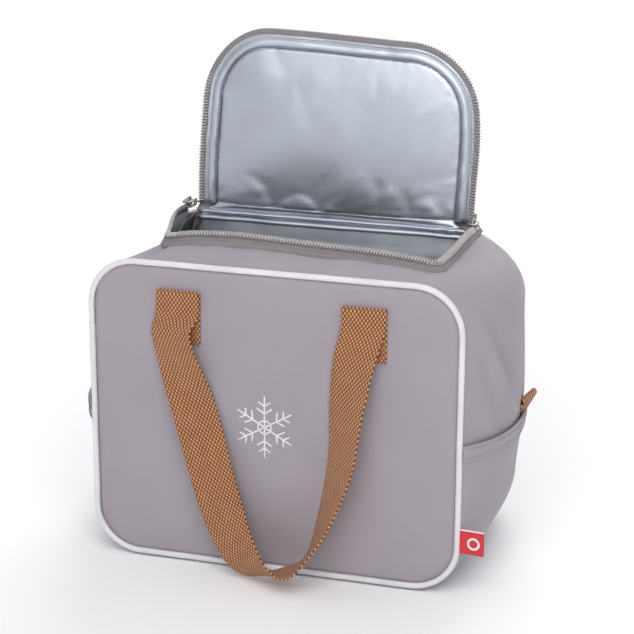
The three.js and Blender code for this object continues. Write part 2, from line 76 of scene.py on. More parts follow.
PIPING_RADIUS = 2.4
PANEL_INSET = 2.7  # the panels' edges lie this far inside the piping's centre line
PANEL_PROUD = 1.0  # and their outer faces this far outside its plane
panel_low, panel_high = box_mm("front_panel")
PANEL_HALF = panel_high.x + PANEL_INSET
PANEL_BOTTOM = panel_low.z - PANEL_INSET
PANEL_TOP = panel_high.z + PANEL_INSET
PANEL_CORNER = 37.0
FRONT_Y = panel_low.y + PANEL_PROUD
BACK_Y = -FRONT_Y
BACK_LEAN = 14.0  # the back panel comes this far forward at its top
BACK_ANGLE = math.atan(BACK_LEAN / PANEL_TOP)

BODY_TOP = box_mm("right_side_panel")[1].z
MOUTH_HALF = box_mm("mouth_zip_tape")[1].x + 0.7
BELLY = 29.0  # the sides stand out this far past the piping at mid depth
POCKET_PINCH = 7.5  # the pockets draw the lower half of each side in by this much
MOUTH_FRONT_Y = -66.0
LINER_DEPTH = 8.6  # from the outer face of a wall to the inner face of its lining

HINGE = joint_mm("lid_hinge")
LID_LEAN = math.radians(3.8)
LID_HALF = box_mm("lid_lining")[1].x
LID_LENGTH = 141.0
LID_THICKNESS = 7.8

FRONT_FOLD = joint_mm("front_handle_swing")
WEBBING_WIDTH = 35.0
WEBBING = 1.8
CLOTH_THICKNESS = 1.2
FOIL_THICKNESS = 0.5
TAPE_THICKNESS = 0.9
HANDLE_X = 75.0  # the sewn ends' middles lie this far to each side of the panel's
HANDLE_END_Z = 187.0  # and their lower edges at this height

# ---------------------------------------------------------------- curves and grids of points


def lerp(a, b, t):
    return a + (b - a) * t


def smoothstep(value, low, high):
    t = np.clip((value - low) / (high - low), 0, 1)
    return t * t * (3 - 2 * t)


def spline(knots, count):
    """Points spread evenly by knot along a smooth curve through the knots."""
    knots = np.array(knots, float)
    padded = np.vstack([2 * knots[0] - knots[1], knots, 2 * knots[-1] - knots[-2]])
    at = np.linspace(0, len(knots) - 1 - 1e-9, count)
    i = at.astype(int)
    t = (at - i)[:, None]
    p0, p1, p2, p3 = (padded[i + k] for k in range(4))
    square, cube = 2 * p0 - 5 * p1 + 4 * p2 - p3, 3 * p1 - p0 - 3 * p2 + p3
    return 0.5 * (2 * p1 + (p2 - p0) * t + square * t**2 + cube * t**3)


def spread(line, spacing):
    """The same line with its points a constant distance apart. Columns after the third are carried along."""
    line = np.array(line, float)
    along = np.concatenate([[0], np.cumsum(np.linalg.norm(np.diff(line[:, :3], axis=0), axis=1))])
    count = max(int(round(along[-1] / spacing)), 1) + 1
    at = np.linspace(0, along[-1], count)
    return np.stack([np.interp(at, along, line[:, k]) for k in range(line.shape[1])], axis=1)


def unit(vectors):
    return vectors / np.maximum(np.linalg.norm(vectors, axis=-1, keepdims=True), 1e-9)


def grid_normals(points):
    """The unit normal at each point of a grid of points."""
    return unit(np.cross(np.gradient(points, axis=0), np.gradient(points, axis=1)))


def lumps(points, size, seed=0):
    """Smooth noise from -1 to 1 at each point, with lumps of about that size in millimetres."""
    flat = np.asarray(points, float).reshape(-1, 3) / size + seed * 17.3
    return np.array([noise.noise(p) for p in flat.tolist()]).reshape(np.asarray(points).shape[:-1])


def arc(centre, radius, start, turn, count):
    """Points along an arc in a plane, from a start angle and through a turn, both in degrees."""
    angles = np.radians(np.linspace(start, start + turn, count))
    return np.array(centre) + radius * np.column_stack([np.cos(angles), np.sin(angles)])


def straight(a, b, count):
    """Points spread evenly along a straight line, with both its ends."""
    return lerp(np.array(a), np.array(b), np.linspace(0, 1, count)[:, None])


# ---------------------------------------------------------------- meshes


def make_object(name, points, faces, corner_uvs, finish, body=None):
    """A smooth mesh object from points in millimetres, which rides on a body when one is given."""
    mesh = bpy.data.meshes.new(name)
    mesh.from_pydata((np.asarray(points) * MM).tolist(), [], faces)
    if corner_uvs is not None:
        layer = mesh.uv_layers.new(name="Cloth")
        layer.data.foreach_set("uv", (np.asarray(corner_uvs, float) * MM).ravel())
    mesh.polygons.foreach_set("use_smooth", [True] * len(mesh.polygons))
    mesh.materials.append(finish)
    piece = bpy.data.objects.new(name, mesh)
    bpy.context.scene.collection.objects.link(piece)
    if body:
        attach(piece, body)
    return piece


def grid_faces(rows, columns, closed=False, keep=None):
    """The quads of a grid, and each corner's row and column before a closed grid wraps round."""
    faces, corners = [], []
    for i in range(rows - 1 if not closed else rows):
        for j in range(columns - 1):
            if keep is not None and not keep(i, j):
                continue
            quad = [(i, j), (i + 1, j), (i + 1, j + 1), (i, j + 1)]
            faces.append([(a % rows) * columns + b for a, b in quad])
            corners += quad
    return faces, corners


def sheet_piece(name, points, finish, body=None, closed=False, keep=None, thickness=0,
                outward=True):
    """A grid of points as a sheet whose UVs are distances on the cloth. closed joins its last row to its
    first, and keep(row, column) says which quads there are."""
    points = np.asarray(points, float)
    rows, columns = points.shape[:2]
    faces, corners = grid_faces(rows, columns, closed, keep)
    ring = np.vstack([points, points[:1]]) if closed else points
    down = np.linalg.norm(np.diff(ring, axis=0), axis=2).mean(axis=1)
    across = np.linalg.norm(np.diff(ring, axis=1), axis=2).mean(axis=0)
    u = np.concatenate([[0], np.cumsum(down)])
    v = np.concatenate([[0], np.cumsum(across)])
    uvs = [(u[i], v[j]) for i, j in corners]
    piece = make_object(name, points.reshape(-1, 3), faces, uvs, finish, body)
    if thickness:
        thicken(piece, thickness, outward)
    return piece


def thicken(piece, thickness, outward=True):
    """Gives a sheet its thickness, to the side that its faces look to or to the other one."""
    solid = piece.modifiers.new("Thickness", "SOLIDIFY")
    solid.thickness = thickness * MM
    solid.offset = 1 if outward else -1


def tube_points(path, radius, sides, up=(0, 0, 1), closed=False):
    """Rings of points round a path, as a grid."""
    path = np.asarray(path, float)
    after = np.roll(path, -1, axis=0)
    before = np.roll(path, 1, axis=0)
    if not closed:
        after[-1], before[0] = path[-1], path[0]
    along = unit(after - before)
    across = unit(np.cross(along, np.broadcast_to(up, along.shape)))
    top = np.cross(across, along)
    angles = np.linspace(0, 2 * math.pi, sides + 1)
    radius = np.broadcast_to(radius, (len(path),))[:, None, None]
    cos, sin = np.cos(angles)[None, :, None], np.sin(angles)[None, :, None]
    return path[:, None] + radius * (cos * across[:, None] + sin * top[:, None])


def joined_grids(name, grids, finish, body):
    """Many grids of points as one piece."""
    points, faces, uvs = [], [], []
    for grid in grids:
        rows, columns = grid.shape[:2]
        own, corners = grid_faces(rows, columns)
        start = sum(len(p) for p in points)
        faces += [[start + k for k in face] for face in own]
        uvs += [(i, j) for i, j in corners]
        points.append(grid.reshape(-1, 3))
    return make_object(name, np.vstack(points), faces, uvs, finish, body)


def merge_seams(piece, distance=0.02):
    """Joins points that lie on each other, as where a tube's ring closes."""
    mesh = bmesh.new()
    mesh.from_mesh(piece.data)
    bmesh.ops.remove_doubles(mesh, verts=mesh.verts, dist=distance * MM)
    bmesh.ops.recalc_face_normals(mesh, faces=mesh.faces)
    mesh.to_mesh(piece.data)
    mesh.free()


def set_points(piece, points):
    piece.data.vertices.foreach_set("co", (np.asarray(points) * MM).ravel())
    piece.data.update()


def settle(piece, held, loose, frames, slack, pull, bending):
    """Runs a cloth simulation on a piece with no other modifier and gives where its points end.

    held and loose are weights from 0 to 1 for each point: how firmly it stays put, and how much of the
    slack it has.
    """
    for name, weights in (("Held", held), ("Loose", loose)):
        group = piece.vertex_groups.new(name=name)
        for index in np.flatnonzero(weights > 0):
            group.add([int(index)], float(weights[index]), "REPLACE")
    modifier = piece.modifiers.new("Cloth", "CLOTH")
    settings = modifier.settings
    settings.quality = 8
    settings.mass = 0.15
    settings.tension_stiffness = settings.compression_stiffness = 60
    settings.shear_stiffness = 30
    settings.bending_stiffness = bending
    settings.vertex_group_mass = "Held"
    settings.vertex_group_shrink = "Loose"
    settings.shrink_min = 0.0
    settings.shrink_max = -slack
    modifier.point_cache.frame_end = frames
    scene = bpy.context.scene
    scene.gravity = pull
    for number in range(1, frames + 1):
        scene.frame_set(number)
    settled = piece.evaluated_get(bpy.context.evaluated_depsgraph_get())
    points = np.empty(len(settled.data.vertices) * 3)
    settled.data.vertices.foreach_get("co", points)
    piece.modifiers.remove(modifier)
    piece.vertex_groups.clear()
    scene.frame_set(1)
    return points.reshape(-1, 3) / MM


# ---------------------------------------------------------------- materials


CLOTH_COLOUR = (0.365, 0.325, 0.358)


class Finish:
    """A procedural material on one Principled shader. Each call adds a node and gives its output."""

    def __init__(self, name, **constants):
        self.material = bpy.data.materials.new(name)
        self.material.use_nodes = True
        self.tree = self.material.node_tree
        self.shader = self.tree.nodes["Principled BSDF"]
        for socket, value in constants.items():
            self.shader.inputs[socket.replace("_", " ")].default_value = value

    def node(self, kind, output=0, inputs=(), **settings):
        made = self.tree.nodes.new(kind)
        for key, value in settings.items():
            setattr(made, key, value)
        for socket, value in dict(inputs).items():
            if isinstance(value, bpy.types.NodeSocket):
                self.tree.links.new(value, made.inputs[socket])
            else:
                made.inputs[socket].default_value = value
        return made.outputs[output]

    def math(self, operation, *values):
        return self.node("ShaderNodeMath", inputs=dict(enumerate(values)), operation=operation)

    def place(self, source="Object"):
        if source == "UV":
            return self.node("ShaderNodeUVMap", uv_map="Cloth")
        return self.node("ShaderNodeTexCoord", output=source)

    def noise(self, where, size, detail=2.0, roughness=0.5):
        """Noise from 0 to 1 with lumps of about that size in millimetres."""
        inputs = {"Vector": where, "Scale": 1 / (size * MM), "Detail": detail, "Roughness": roughness}
        return self.node("ShaderNodeTexNoise", inputs=inputs)

    def ramp(self, factor, *stops):
        """A colour ramp through (position, colour) stops; a plain number is a grey."""
        made = self.tree.nodes.new("ShaderNodeValToRGB")
        self.tree.links.new(factor, made.inputs[0])
        elements = made.color_ramp.elements
        while len(elements) < len(stops):
            elements.new(0.5)
        for element, (position, colour) in zip(elements, stops):
            element.position = position
            element.color = (*colour, 1) if isinstance(colour, tuple) else (colour, colour, colour, 1)
        return made.outputs[0]

    def multiply(self, colour, factor):
        return self._mix("MULTIPLY", colour, factor, 1.0)

    def mix(self, a, b, factor):
        return self._mix("MIX", a, b, factor)

    def _mix(self, blend, a, b, factor):
        made = self.tree.nodes.new("ShaderNodeMix")
        made.data_type = "RGBA"
        made.blend_type = blend
        for socket, value in ((made.inputs[0], factor), (made.inputs[6], a), (made.inputs[7], b)):
            if isinstance(value, bpy.types.NodeSocket):
                self.tree.links.new(value, socket)
            else:
                socket.default_value = (*value, 1) if isinstance(value, tuple) else value
        return made.outputs[2]

    def bump(self, height, distance, strength=1.0, normal=None):
        """Relief whose full height is that distance in millimetres."""
        inputs = {"Height": height, "Distance": distance * MM, "Strength": strength}
        if normal is not None:
            inputs["Normal"] = normal
        return self.node("ShaderNodeBump", inputs=inputs)

    def shade(self, **sockets):
        for socket, value in sockets.items():
            self.tree.links.new(value, self.shader.inputs[socket.replace("_", " ")])
        return self.material


def weave_height(finish, pitch):
    """A plain weave of threads, from 0 to 1, on the cloth's own coordinates."""
    split = finish.node("ShaderNodeSeparateXYZ", inputs={0: finish.place("UV")}).node
    u = finish.math("MULTIPLY", split.outputs[0], math.pi / (pitch * MM))
    v = finish.math("MULTIPLY", split.outputs[1], math.pi / (pitch * MM))
    sin_u, cos_u = finish.math("SINE", u), finish.math("COSINE", u)
    sin_v, cos_v = finish.math("SINE", v), finish.math("COSINE", v)
    warp = finish.math("MULTIPLY_ADD", sin_u, cos_v, finish.math("ABSOLUTE", sin_u))
    weft = finish.math("SUBTRACT", finish.math("ABSOLUTE", sin_v), finish.math("MULTIPLY", sin_v, cos_u))
    return finish.math("MULTIPLY", finish.math("MAXIMUM", warp, weft), 0.5)


def bead_height(finish, across_mm, along_mm):
    """Webbing yarns as a diamond lattice of rounded beads, from 0 to 1, that repeats at those distances."""
    split = finish.node("ShaderNodeSeparateXYZ", inputs={0: finish.place("UV")}).node
    along = finish.math("COSINE", finish.math("MULTIPLY", split.outputs[0], 2 * math.pi / (along_mm * MM)))
    across = finish.math("COSINE", finish.math("MULTIPLY", split.outputs[1], 2 * math.pi / (across_mm * MM)))
    beads = finish.math("ABSOLUTE", finish.math("SUBTRACT", along, across))
    return finish.math("POWER", finish.math("MULTIPLY", beads, 0.5), 0.7)


CLOTH_PITCH, TAPE_PITCH, LABEL_PITCH = 0.55, 0.9, 0.6  # of the weaves
BEAD_PITCH = (3.0, 4.4)  # of the webbing's beads, across and along it


def cloth_finish():
    """Fine woven polyester with a faint silky sheen, slubs and soft shade changes."""
    finish = Finish("cloth", Roughness=0.72, Sheen_Weight=0.12, Sheen_Roughness=0.4, Specular_IOR_Level=0.3)
    where = finish.place()
    weave = weave_height(finish, CLOTH_PITCH)
    slubs = finish.noise(finish.place("UV"), 1.6, 3)
    clouds = finish.noise(where, 55, 2)
    clouded = finish.ramp(clouds, (0.25, 0.955), (0.75, 1.03))
    shade = finish.multiply(clouded, finish.ramp(slubs, (0.3, 0.965), (0.7, 1.03)))
    threads = finish.multiply(shade, finish.ramp(weave, (0.1, 0.9), (0.9, 1.05)))
    rumple = finish.bump(finish.noise(where, 14, 3), 0.5, 0.35)
    relief = finish.bump(weave, 0.16, 0.5, rumple)
    return finish.shade(Base_Color=finish.multiply(threads, CLOTH_COLOUR), Normal=relief)


def webbing_finish():
    """Coarse tan webbing: a diamond lattice of thick yarn beads, with painted highlights on their crests and
    painted shade in the gaps between them.
    """
    finish = Finish("webbing", Roughness=0.78, Sheen_Weight=0.15, Specular_IOR_Level=0.25)
    beads = bead_height(finish, *BEAD_PITCH)
    yarn = finish.noise(finish.place("UV"), 0.45, 3)
    blotches = finish.noise(finish.place(), 9, 2)
    gap_shade, flank, crest_highlight = (0.1, 0.034, 0.012), (0.36, 0.14, 0.05), (0.72, 0.36, 0.18)
    # the colour follows the bead height: painted shade down in the gaps and painted highlights on the crests,
    # over the webbing's own tan
    colour = finish.ramp(beads, (0.12, gap_shade), (0.5, flank), (0.95, crest_highlight))
    colour = finish.multiply(colour, finish.ramp(blotches, (0.3, 0.92), (0.7, 1.06)))
    colour = finish.multiply(colour, finish.ramp(yarn, (0.3, 0.85), (0.7, 1.12)))
    relief = finish.bump(yarn, 0.2, 0.5, finish.bump(beads, 0.8, 0.9))
    return finish.shade(Base_Color=colour, Normal=relief)


def foil_finish(name, metallic, tone=1.0):
    """Aluminised film: soft metal with fine crinkles and cloudy gloss. tone darkens it; the inside foil uses
    it as painted shade.
    """
    finish = Finish(name, Metallic=metallic, Specular_IOR_Level=0.5)
    where = finish.place()
    crinkle = finish.noise(where, 5, 4, 0.6)
    clouds = finish.noise(where, 38, 3)
    colour = finish.ramp(clouds, (0.2, (0.55, 0.58, 0.64)), (0.8, (0.65, 0.69, 0.755)))
    colour = finish.multiply(colour, (tone, tone, tone))
    gloss = finish.ramp(clouds, (0.2, 0.43), (0.8, 0.49))
    soft = finish.bump(clouds, 1.2, 0.35)
    return finish.shade(Base_Color=colour, Roughness=gloss, Normal=finish.bump(crinkle, 0.35, 0.3, soft))


def piping_finish():
    """White coated cord with a faint leather-like grain."""
    finish = Finish("piping", Roughness=0.5, Coat_Weight=0.1)
    where = finish.place()
    grain = finish.noise(where, 1.2, 3)
    colour = finish.ramp(finish.noise(where, 22, 3), (0.3, (0.66, 0.65, 0.67)), (0.7, (0.74, 0.73, 0.75)))
    return finish.shade(Base_Color=colour, Normal=finish.bump(grain, 0.15, 0.4))


def tape_finish():
    """Ribbed zip tape."""
    finish = Finish("zip_tape", Roughness=0.8, Sheen_Weight=0.1)
    weave = weave_height(finish, TAPE_PITCH)
    colour = finish.ramp(weave, (0.1, (0.19, 0.17, 0.172)), (0.9, (0.29, 0.262, 0.268)))
    fuzz = finish.noise(finish.place(), 6, 3)
    return finish.shade(
        Base_Color=finish.multiply(colour, finish.ramp(fuzz, (0.3, 0.92), (0.7, 1.06))),
        Normal=finish.bump(weave, 0.35, 0.6),
    )


def coil_finish():
    """Nylon coil, greyish and slightly glossy."""
    finish = Finish("zip_coil", Roughness=0.38, Specular_IOR_Level=0.5)
    tone = finish.noise(finish.place(), 4, 2)
    colour = finish.ramp(tone, (0.3, (0.44, 0.41, 0.4)), (0.7, (0.58, 0.55, 0.53)))
    return finish.shade(Base_Color=colour)


def metal_finish():
    """Nickel-plated die casting with fine scratches."""
    finish = Finish("slider_metal", Metallic=1.0)
    where = finish.place()
    scratches = finish.noise(where, 0.8, 4, 0.7)
    colour = finish.ramp(finish.noise(where, 5, 2), (0.3, (0.3, 0.285, 0.265)), (0.7, (0.42, 0.4, 0.38)))
    gloss = finish.ramp(scratches, (0.3, 0.2), (0.7, 0.36))
    return finish.shade(Base_Color=colour, Roughness=gloss, Normal=finish.bump(scratches, 0.05, 0.4))


def thread_finish(name, colour):
    """Twisted sewing thread."""
    finish = Finish(name, Roughness=0.6, Sheen_Weight=0.1)
    twist = finish.noise(finish.place(), 0.5, 2)
    shade = finish.ramp(twist, (0.3, 0.8), (0.7, 1.1))
    return finish.shade(Base_Color=finish.multiply(shade, colour))


def print_finish():
    """Matt white screen print, a little worn where the weave lifts it."""
    finish = Finish("print", Roughness=0.6)
    wear = finish.noise(finish.place(), 1.1, 3)
    colour = finish.ramp(wear, (0.28, (0.62, 0.6, 0.62)), (0.45, (0.82, 0.81, 0.82)))
    return finish.shade(Base_Color=colour, Normal=finish.bump(wear, 0.08, 0.3))


LABEL_RING_CENTRE = (13.5 * MM, 9.2 * MM, 0)  # on the label's own cloth coordinates
LABEL_RING, LABEL_RING_HALF_WIDTH = 4.3, 0.9
LABEL_SELVAGE = 19.1  # the pale selvage starts here


def label_finish():
    """Red satin-woven label with a pale woven ring and a pale selvage along its top."""
    finish = Finish("label", Roughness=0.55, Sheen_Weight=0.2)
    weave = weave_height(finish, LABEL_PITCH)
    red = finish.ramp(weave, (0.1, (0.5, 0.012, 0.018)), (0.9, (0.74, 0.028, 0.036)))
    place = finish.place("UV")
    from_ring = finish.node("ShaderNodeVectorMath", 1, {0: place, 1: LABEL_RING_CENTRE}, operation="DISTANCE")
    off_ring = finish.math("ABSOLUTE", finish.math("SUBTRACT", from_ring, LABEL_RING * MM))
    on_ring = finish.math("LESS_THAN", off_ring, LABEL_RING_HALF_WIDTH * MM)
    height = finish.node("ShaderNodeSeparateXYZ", inputs={0: place}).node.outputs[1]
    pale = finish.math("MAXIMUM", on_ring, finish.math("GREATER_THAN", height, LABEL_SELVAGE * MM))
    colour = finish.mix(red, (0.78, 0.76, 0.77), pale)
    return finish.shade(Base_Color=colour, Normal=finish.bump(weave, 0.15, 0.5))


def floor_finish():
    """Pale matt paper, a little uneven."""
    finish = Finish("floor", Roughness=0.9, Specular_IOR_Level=0.1)
    tone = finish.noise(finish.place(), 900, 2)
    return finish.shade(Base_Color=finish.ramp(tone, (0.3, 0.93), (0.7, 0.95)))


cloth = cloth_finish()
webbing = webbing_finish()
foil = foil_finish("foil", 0.9, 0.94)
# the inside foil is a darker copy of the same foil: painted shade for the shadowed inside of the bag
inner_foil = foil_finish("inner_foil", 0.6, 0.33)
piping = piping_finish()
zip_tape = tape_finish()
zip_coil = coil_finish()
metal = metal_finish()
cloth_thread = thread_finish("cloth_thread", (0.13, 0.112, 0.122))
tan_thread = thread_finish("tan_thread", (0.42, 0.2, 0.09))
print_ink = print_finish()
label_cloth = label_finish()

# ---------------------------------------------------------------- camera, light and floor

SKY_DIM, SKY_BRIGHT = (0.36, 0.37, 0.4), (0.58, 0.59, 0.61)
SKY_STRENGTH = 1.0
SKY_RISE = 1.2  # how much the height of a direction counts beside how far back it points
SKY_BRIGHT_FROM = 0.6
FLOOR_HALF, FLOOR_Z = 7000.0, -0.2
VIEW = {"azimuth": 16.84, "elevation": 17.48, "roll": 0.223, "distance": 1618.0, "target": (8.9, 0.0, 188.0)}
SENSOR = 36.0
LENS = 112.98
CLIP = (0.05, 50)  # metres


def make_camera():
    """The photo's own view, worked out from the front panel's outline."""
    azimuth, elevation = math.radians(VIEW["azimuth"]), math.radians(VIEW["elevation"])
    level = math.cos(elevation)
    back = Vector((math.sin(azimuth) * level, -math.cos(azimuth) * level, math.sin(elevation)))
    data = bpy.data.cameras.new("camera")
    data.sensor_width = SENSOR
    data.lens = LENS
    data.clip_start, data.clip_end = CLIP
    camera = bpy.data.objects.new("camera", data)
    bpy.context.scene.collection.objects.link(camera)
    camera.location = (Vector(VIEW["target"]) + back * VIEW["distance"]) * MM
    camera.rotation_mode = "QUATERNION"
    turn = Matrix.Rotation(math.radians(VIEW["roll"]), 3, back).to_quaternion()
    camera.rotation_quaternion = turn @ (-back).to_track_quat("-Z", "Y")
    bpy.context.scene.camera = camera


def area_light(name, place, size, power, aim=(0, 0, 180)):
    """A round light at a place, turned to where it aims."""
    data = bpy.data.lights.new(name, "AREA")
    data.shape = "DISK"
    data.size = size * MM
    data.energy = power
    light = bpy.data.objects.new(name, data)
    bpy.context.scene.collection.objects.link(light)
    light.location = Vector(place) * MM
    light.rotation_mode = "QUATERNION"
    light.rotation_quaternion = (Vector(aim) - Vector(place)).to_track_quat("-Z", "Y")


def make_sky(tree):
    """A pale room for the foil to reflect, bright overhead and behind the bag and dim in front of it."""
    direction = tree.nodes.new("ShaderNodeTexCoord").outputs["Generated"]
    split = tree.nodes.new("ShaderNodeSeparateXYZ")
    tree.links.new(direction, split.inputs[0])
    height = tree.nodes.new("ShaderNodeMath")
    height.operation = "MULTIPLY_ADD"
    tree.links.new(split.outputs["Z"], height.inputs[0])
    height.inputs[1].default_value = SKY_RISE
    tree.links.new(split.outputs["Y"], height.inputs[2])
    ramp = tree.nodes.new("ShaderNodeValToRGB")
    tree.links.new(height.outputs[0], ramp.inputs[0])
    stops = ramp.color_ramp.elements
    stops[0].position, stops[0].color = 0.0, (*SKY_DIM, 1)
    stops[1].position, stops[1].color = SKY_BRIGHT_FROM, (*SKY_BRIGHT, 1)
    background = tree.nodes["Background"]
    tree.links.new(ramp.outputs[0], background.inputs["Color"])
    background.inputs["Strength"].default_value = SKY_STRENGTH


def make_studio():
    """Soft lights, the room's light and a plain floor."""
    area_light("key", (420, -1650, 1550), 2100, 32)
    area_light("fill", (-1700, -1100, 900), 1500, 1)
    area_light("sweep", (0, 3300, 2600), 3000, 90, aim=(0, 2600, 0))
    world = bpy.data.worlds.new("studio")
    bpy.context.scene.world = world
    world.use_nodes = True
    make_sky(world.node_tree)
    corners = [(x * FLOOR_HALF, y * FLOOR_HALF, FLOOR_Z) for x, y in ((-1, -1), (1, -1), (1, 1), (-1, 1))]
    make_object("floor", corners, [[0, 1, 2, 3]], None, floor_finish())
    bpy.context.scene.view_settings.view_transform = "Standard"


make_camera()
make_studio()

# ---------------------------------------------------------------- form of the body

# The cloth runs round the bag in rings, from the front piping (depth -1) to the back piping (depth 1).
# The height of the seam along the front of the mouth, as (x, z) knots.
LIP_KNOTS = [(-150, 252), (-127, 254.5), (-112, 257.5), (-92, 260), (-66, 261.5), (-36, 262.5), (0, 261),
             (38, 259.5), (75, 258), (105, 255.5), (127, 252.5), (150, 251)]
SIDE_RIM = 252.0  # and along its sides


def body_y(depth, z):
    """The y of a depth in the bag, from -1 at the front to 1 at the back, which leans."""
    return lerp(FRONT_Y, BACK_Y - BACK_LEAN * np.asarray(z) / PANEL_TOP, (depth + 1) / 2)


def depth_at(y, z):
    """The depth of a y in the bag."""
    return 2 * (y - FRONT_Y) / (BACK_Y - BACK_LEAN * z / PANEL_TOP - FRONT_Y) - 1


def lip_height(x):
    """Height of the seam along the front of the mouth."""
    line = spline(LIP_KNOTS, 240)
    return np.interp(x, line[:, 0], line[:, 1])


def rim_height(x, y):
    """Height of the seam round the mouth: level along the sides and raised along the front."""
    forward = smoothstep(-np.asarray(y, float), 22, 62)
    return lerp(SIDE_RIM, lip_height(x), forward)


LEFT_SLUMP = 25.0  # the left shoulder has sunk in by this much between the mouth and the side
# How much rounder than the panel's corners the lower edges and the shoulders, by side, are at mid depth.
TOE_ROUNDING = 38.0
SHOULDER_ROUNDING = {1: -1.0, -1: 8.0}
SEAM_DROP, SEAM_LIFT = 3.0, 3.4  # the top and the base turn in by this much beside the piping
BASE_Z = 0.6
RING_STEPS = {"top": 26, "shoulder": 14, "side": 34, "toe": 12, "base": 16}


def ring_half(depth, side=1):
    """Half of a ring, from the middle of the top to the middle of the base, as (x, z) points, x outward."""
    swell = 1 - depth**2
    half = PANEL_HALF + BELLY * swell
    high, low = PANEL_CORNER + SHOULDER_ROUNDING[side] * swell, PANEL_CORNER + TOE_ROUNDING * swell
    top = BODY_TOP - SEAM_DROP * abs(depth) ** 8
    bottom = BASE_Z + SEAM_LIFT * abs(depth) ** 8
    flat = half - high
    x = np.linspace(0, MOUTH_HALF, RING_STEPS["top"], endpoint=False)
    over = np.clip(x - flat, 0, high)
    parts = [np.stack([x, top - high + np.sqrt(high**2 - over**2)], axis=1)]
    first = math.acos(np.clip((MOUTH_HALF - flat) / high, 0, 1))
    level = max(flat - MOUTH_HALF, 0)
    s = np.linspace(0, level + high * first, RING_STEPS["shoulder"], endpoint=False)
    angle = first - np.clip(s - level, 0, None) / high
    x = np.where(s < level, MOUTH_HALF + s, flat + high * np.cos(angle))
    z = np.where(s < level, top, top - high + high * np.sin(angle))
    if side < 0:
        share = s / (level + high * first)
        sunk = smoothstep(share, 0, 0.17) * (1 - smoothstep(share, 0.5, 1.0)) * (1 - depth**4)
        sunk *= LEFT_SLUMP * lerp(1.05, 1.25, smoothstep(depth, -0.6, 0.5))
        x, z = x - 0.4 * sunk, z - sunk
    parts.append(np.stack([x, z], axis=1))
    z = np.linspace(top - high, bottom + low, RING_STEPS["side"], endpoint=False)
    parts.append(np.stack([np.full_like(z, half), z], axis=1))
    angle = np.linspace(0, -math.pi / 2, RING_STEPS["toe"], endpoint=False)
    parts.append(np.stack([half - low + low * np.cos(angle), bottom + low + low * np.sin(angle)], axis=1))
    x = np.linspace(half - low, 0, RING_STEPS["base"] + 1)
    parts.append(np.stack([x, np.full_like(x, bottom)], axis=1))
    points = np.vstack(parts)
    pinch = POCKET_PINCH * swell * (1 - smoothstep(points[:, 1], 72, 138))
    points[:, 0] -= pinch * smoothstep(points[:, 0], 0, half - low)
    return points


def ring(depth):
    """A whole ring, from the middle of the top round the right side, the base and the left side."""
    right = ring_half(depth)
    left = ring_half(depth, -1)[::-1][1:-1] * (-1, 1)
    points = np.vstack([right, left])
    return np.column_stack([points[:, 0], body_y(depth, points[:, 1]), points[:, 1]])


HALF_RING = sum(RING_STEPS.values())
RIM_COLUMN = RING_STEPS["top"]
MOUTH_DEPTH = float(depth_at(MOUTH_FRONT_Y, BODY_TOP))
HINGE_DEPTH = 0.975
FRONT_ROWS, MIDDLE_ROWS = 9, 40
DEPTHS = np.concatenate([
    np.linspace(-1, MOUTH_DEPTH, FRONT_ROWS, endpoint=False),
    np.linspace(MOUTH_DEPTH, HINGE_DEPTH, MIDDLE_ROWS, endpoint=False),
    [HINGE_DEPTH, 1.0],
])

# Long soft folds in the side cloth, as (y, z) ends, half width and how deep they press in.
RIGHT_FOLDS = [((-66, 226), (-12, 138), 7, 5.5), ((-76, 214), (-40, 120), 7, 2.2),
               ((30, 205), (52, 120), 11, 1.8)]
LEFT_FOLDS = [((-60, 215), (0, 140), 9, 2.0), ((45, 210), (20, 128), 10, 1.5)]


def fold_depth(points, folds):
    """How far a set of folds presses the side in at each point."""
    y, z = points[..., 1], points[..., 2]
    total = np.zeros_like(y)
    for (y0, z0), (y1, z1), width, depth in folds:
        length = math.hypot(y1 - y0, z1 - z0)
        along = ((y - y0) * (y1 - y0) + (z - z0) * (z1 - z0)) / length
        aside = ((y - y0) * (z1 - z0) - (z - z0) * (y1 - y0)) / length
        fade = smoothstep(along, -0.15 * length, 0.3 * length)
        fade = fade * (1 - smoothstep(along, 0.75 * length, 1.1 * length))
        valley = np.exp(-((aside / width) ** 2)) - 0.55 * np.exp(-(((aside - 1.9 * width) / width) ** 2))
        total += depth * fade * valley
    return total


def round_mouth_corner(points, side, radius):
    """Draws the square corner of the mouth in to a rounded one, fading out over the cloth round it."""
    centre = np.array([side * (MOUTH_HALF - radius), MOUTH_FRONT_Y + radius])
    offset = points[..., :2] - centre
    beyond = (side * offset[..., 0] > 0) & (offset[..., 1] < 0) & (points[..., 2] > BODY_TOP - 60)
    reach = np.linalg.norm(offset, axis=-1)
    direction = offset / np.maximum(reach, 1e-6)[..., None]
    square = radius / np.maximum(np.abs(direction).max(axis=-1), 1e-6)
    shift = (square - radius) * np.exp(-np.clip(reach - square, 0, None) / CORNER_FADE)
    points[..., :2] -= np.where(beyond, shift, 0)[..., None] * direction


MOUTH_CORNERS = {-1: 26.0, 1: 13.0}  # the radius of the mouth's front corner on each side
CORNER_FADE = 16.0  # how far the cloth round a corner is drawn in with it
MOUTH_LEAN = 22.0
LEFT_HOLLOW = 7.0


def lean_mouth(points):
    """Moves the left front of the mouth, and the shoulder that has sunk under it, in towards the middle."""
    x, y, z = np.moveaxis(points, -1, 0)
    reach = smoothstep(-x, 55, 125) * smoothstep(-y, -50, 60) * (1 - smoothstep(-y, 76, 90))
    moved = points.copy()
    moved[..., 0] += MOUTH_LEAN * reach * smoothstep(z, 195, 245)
    return moved


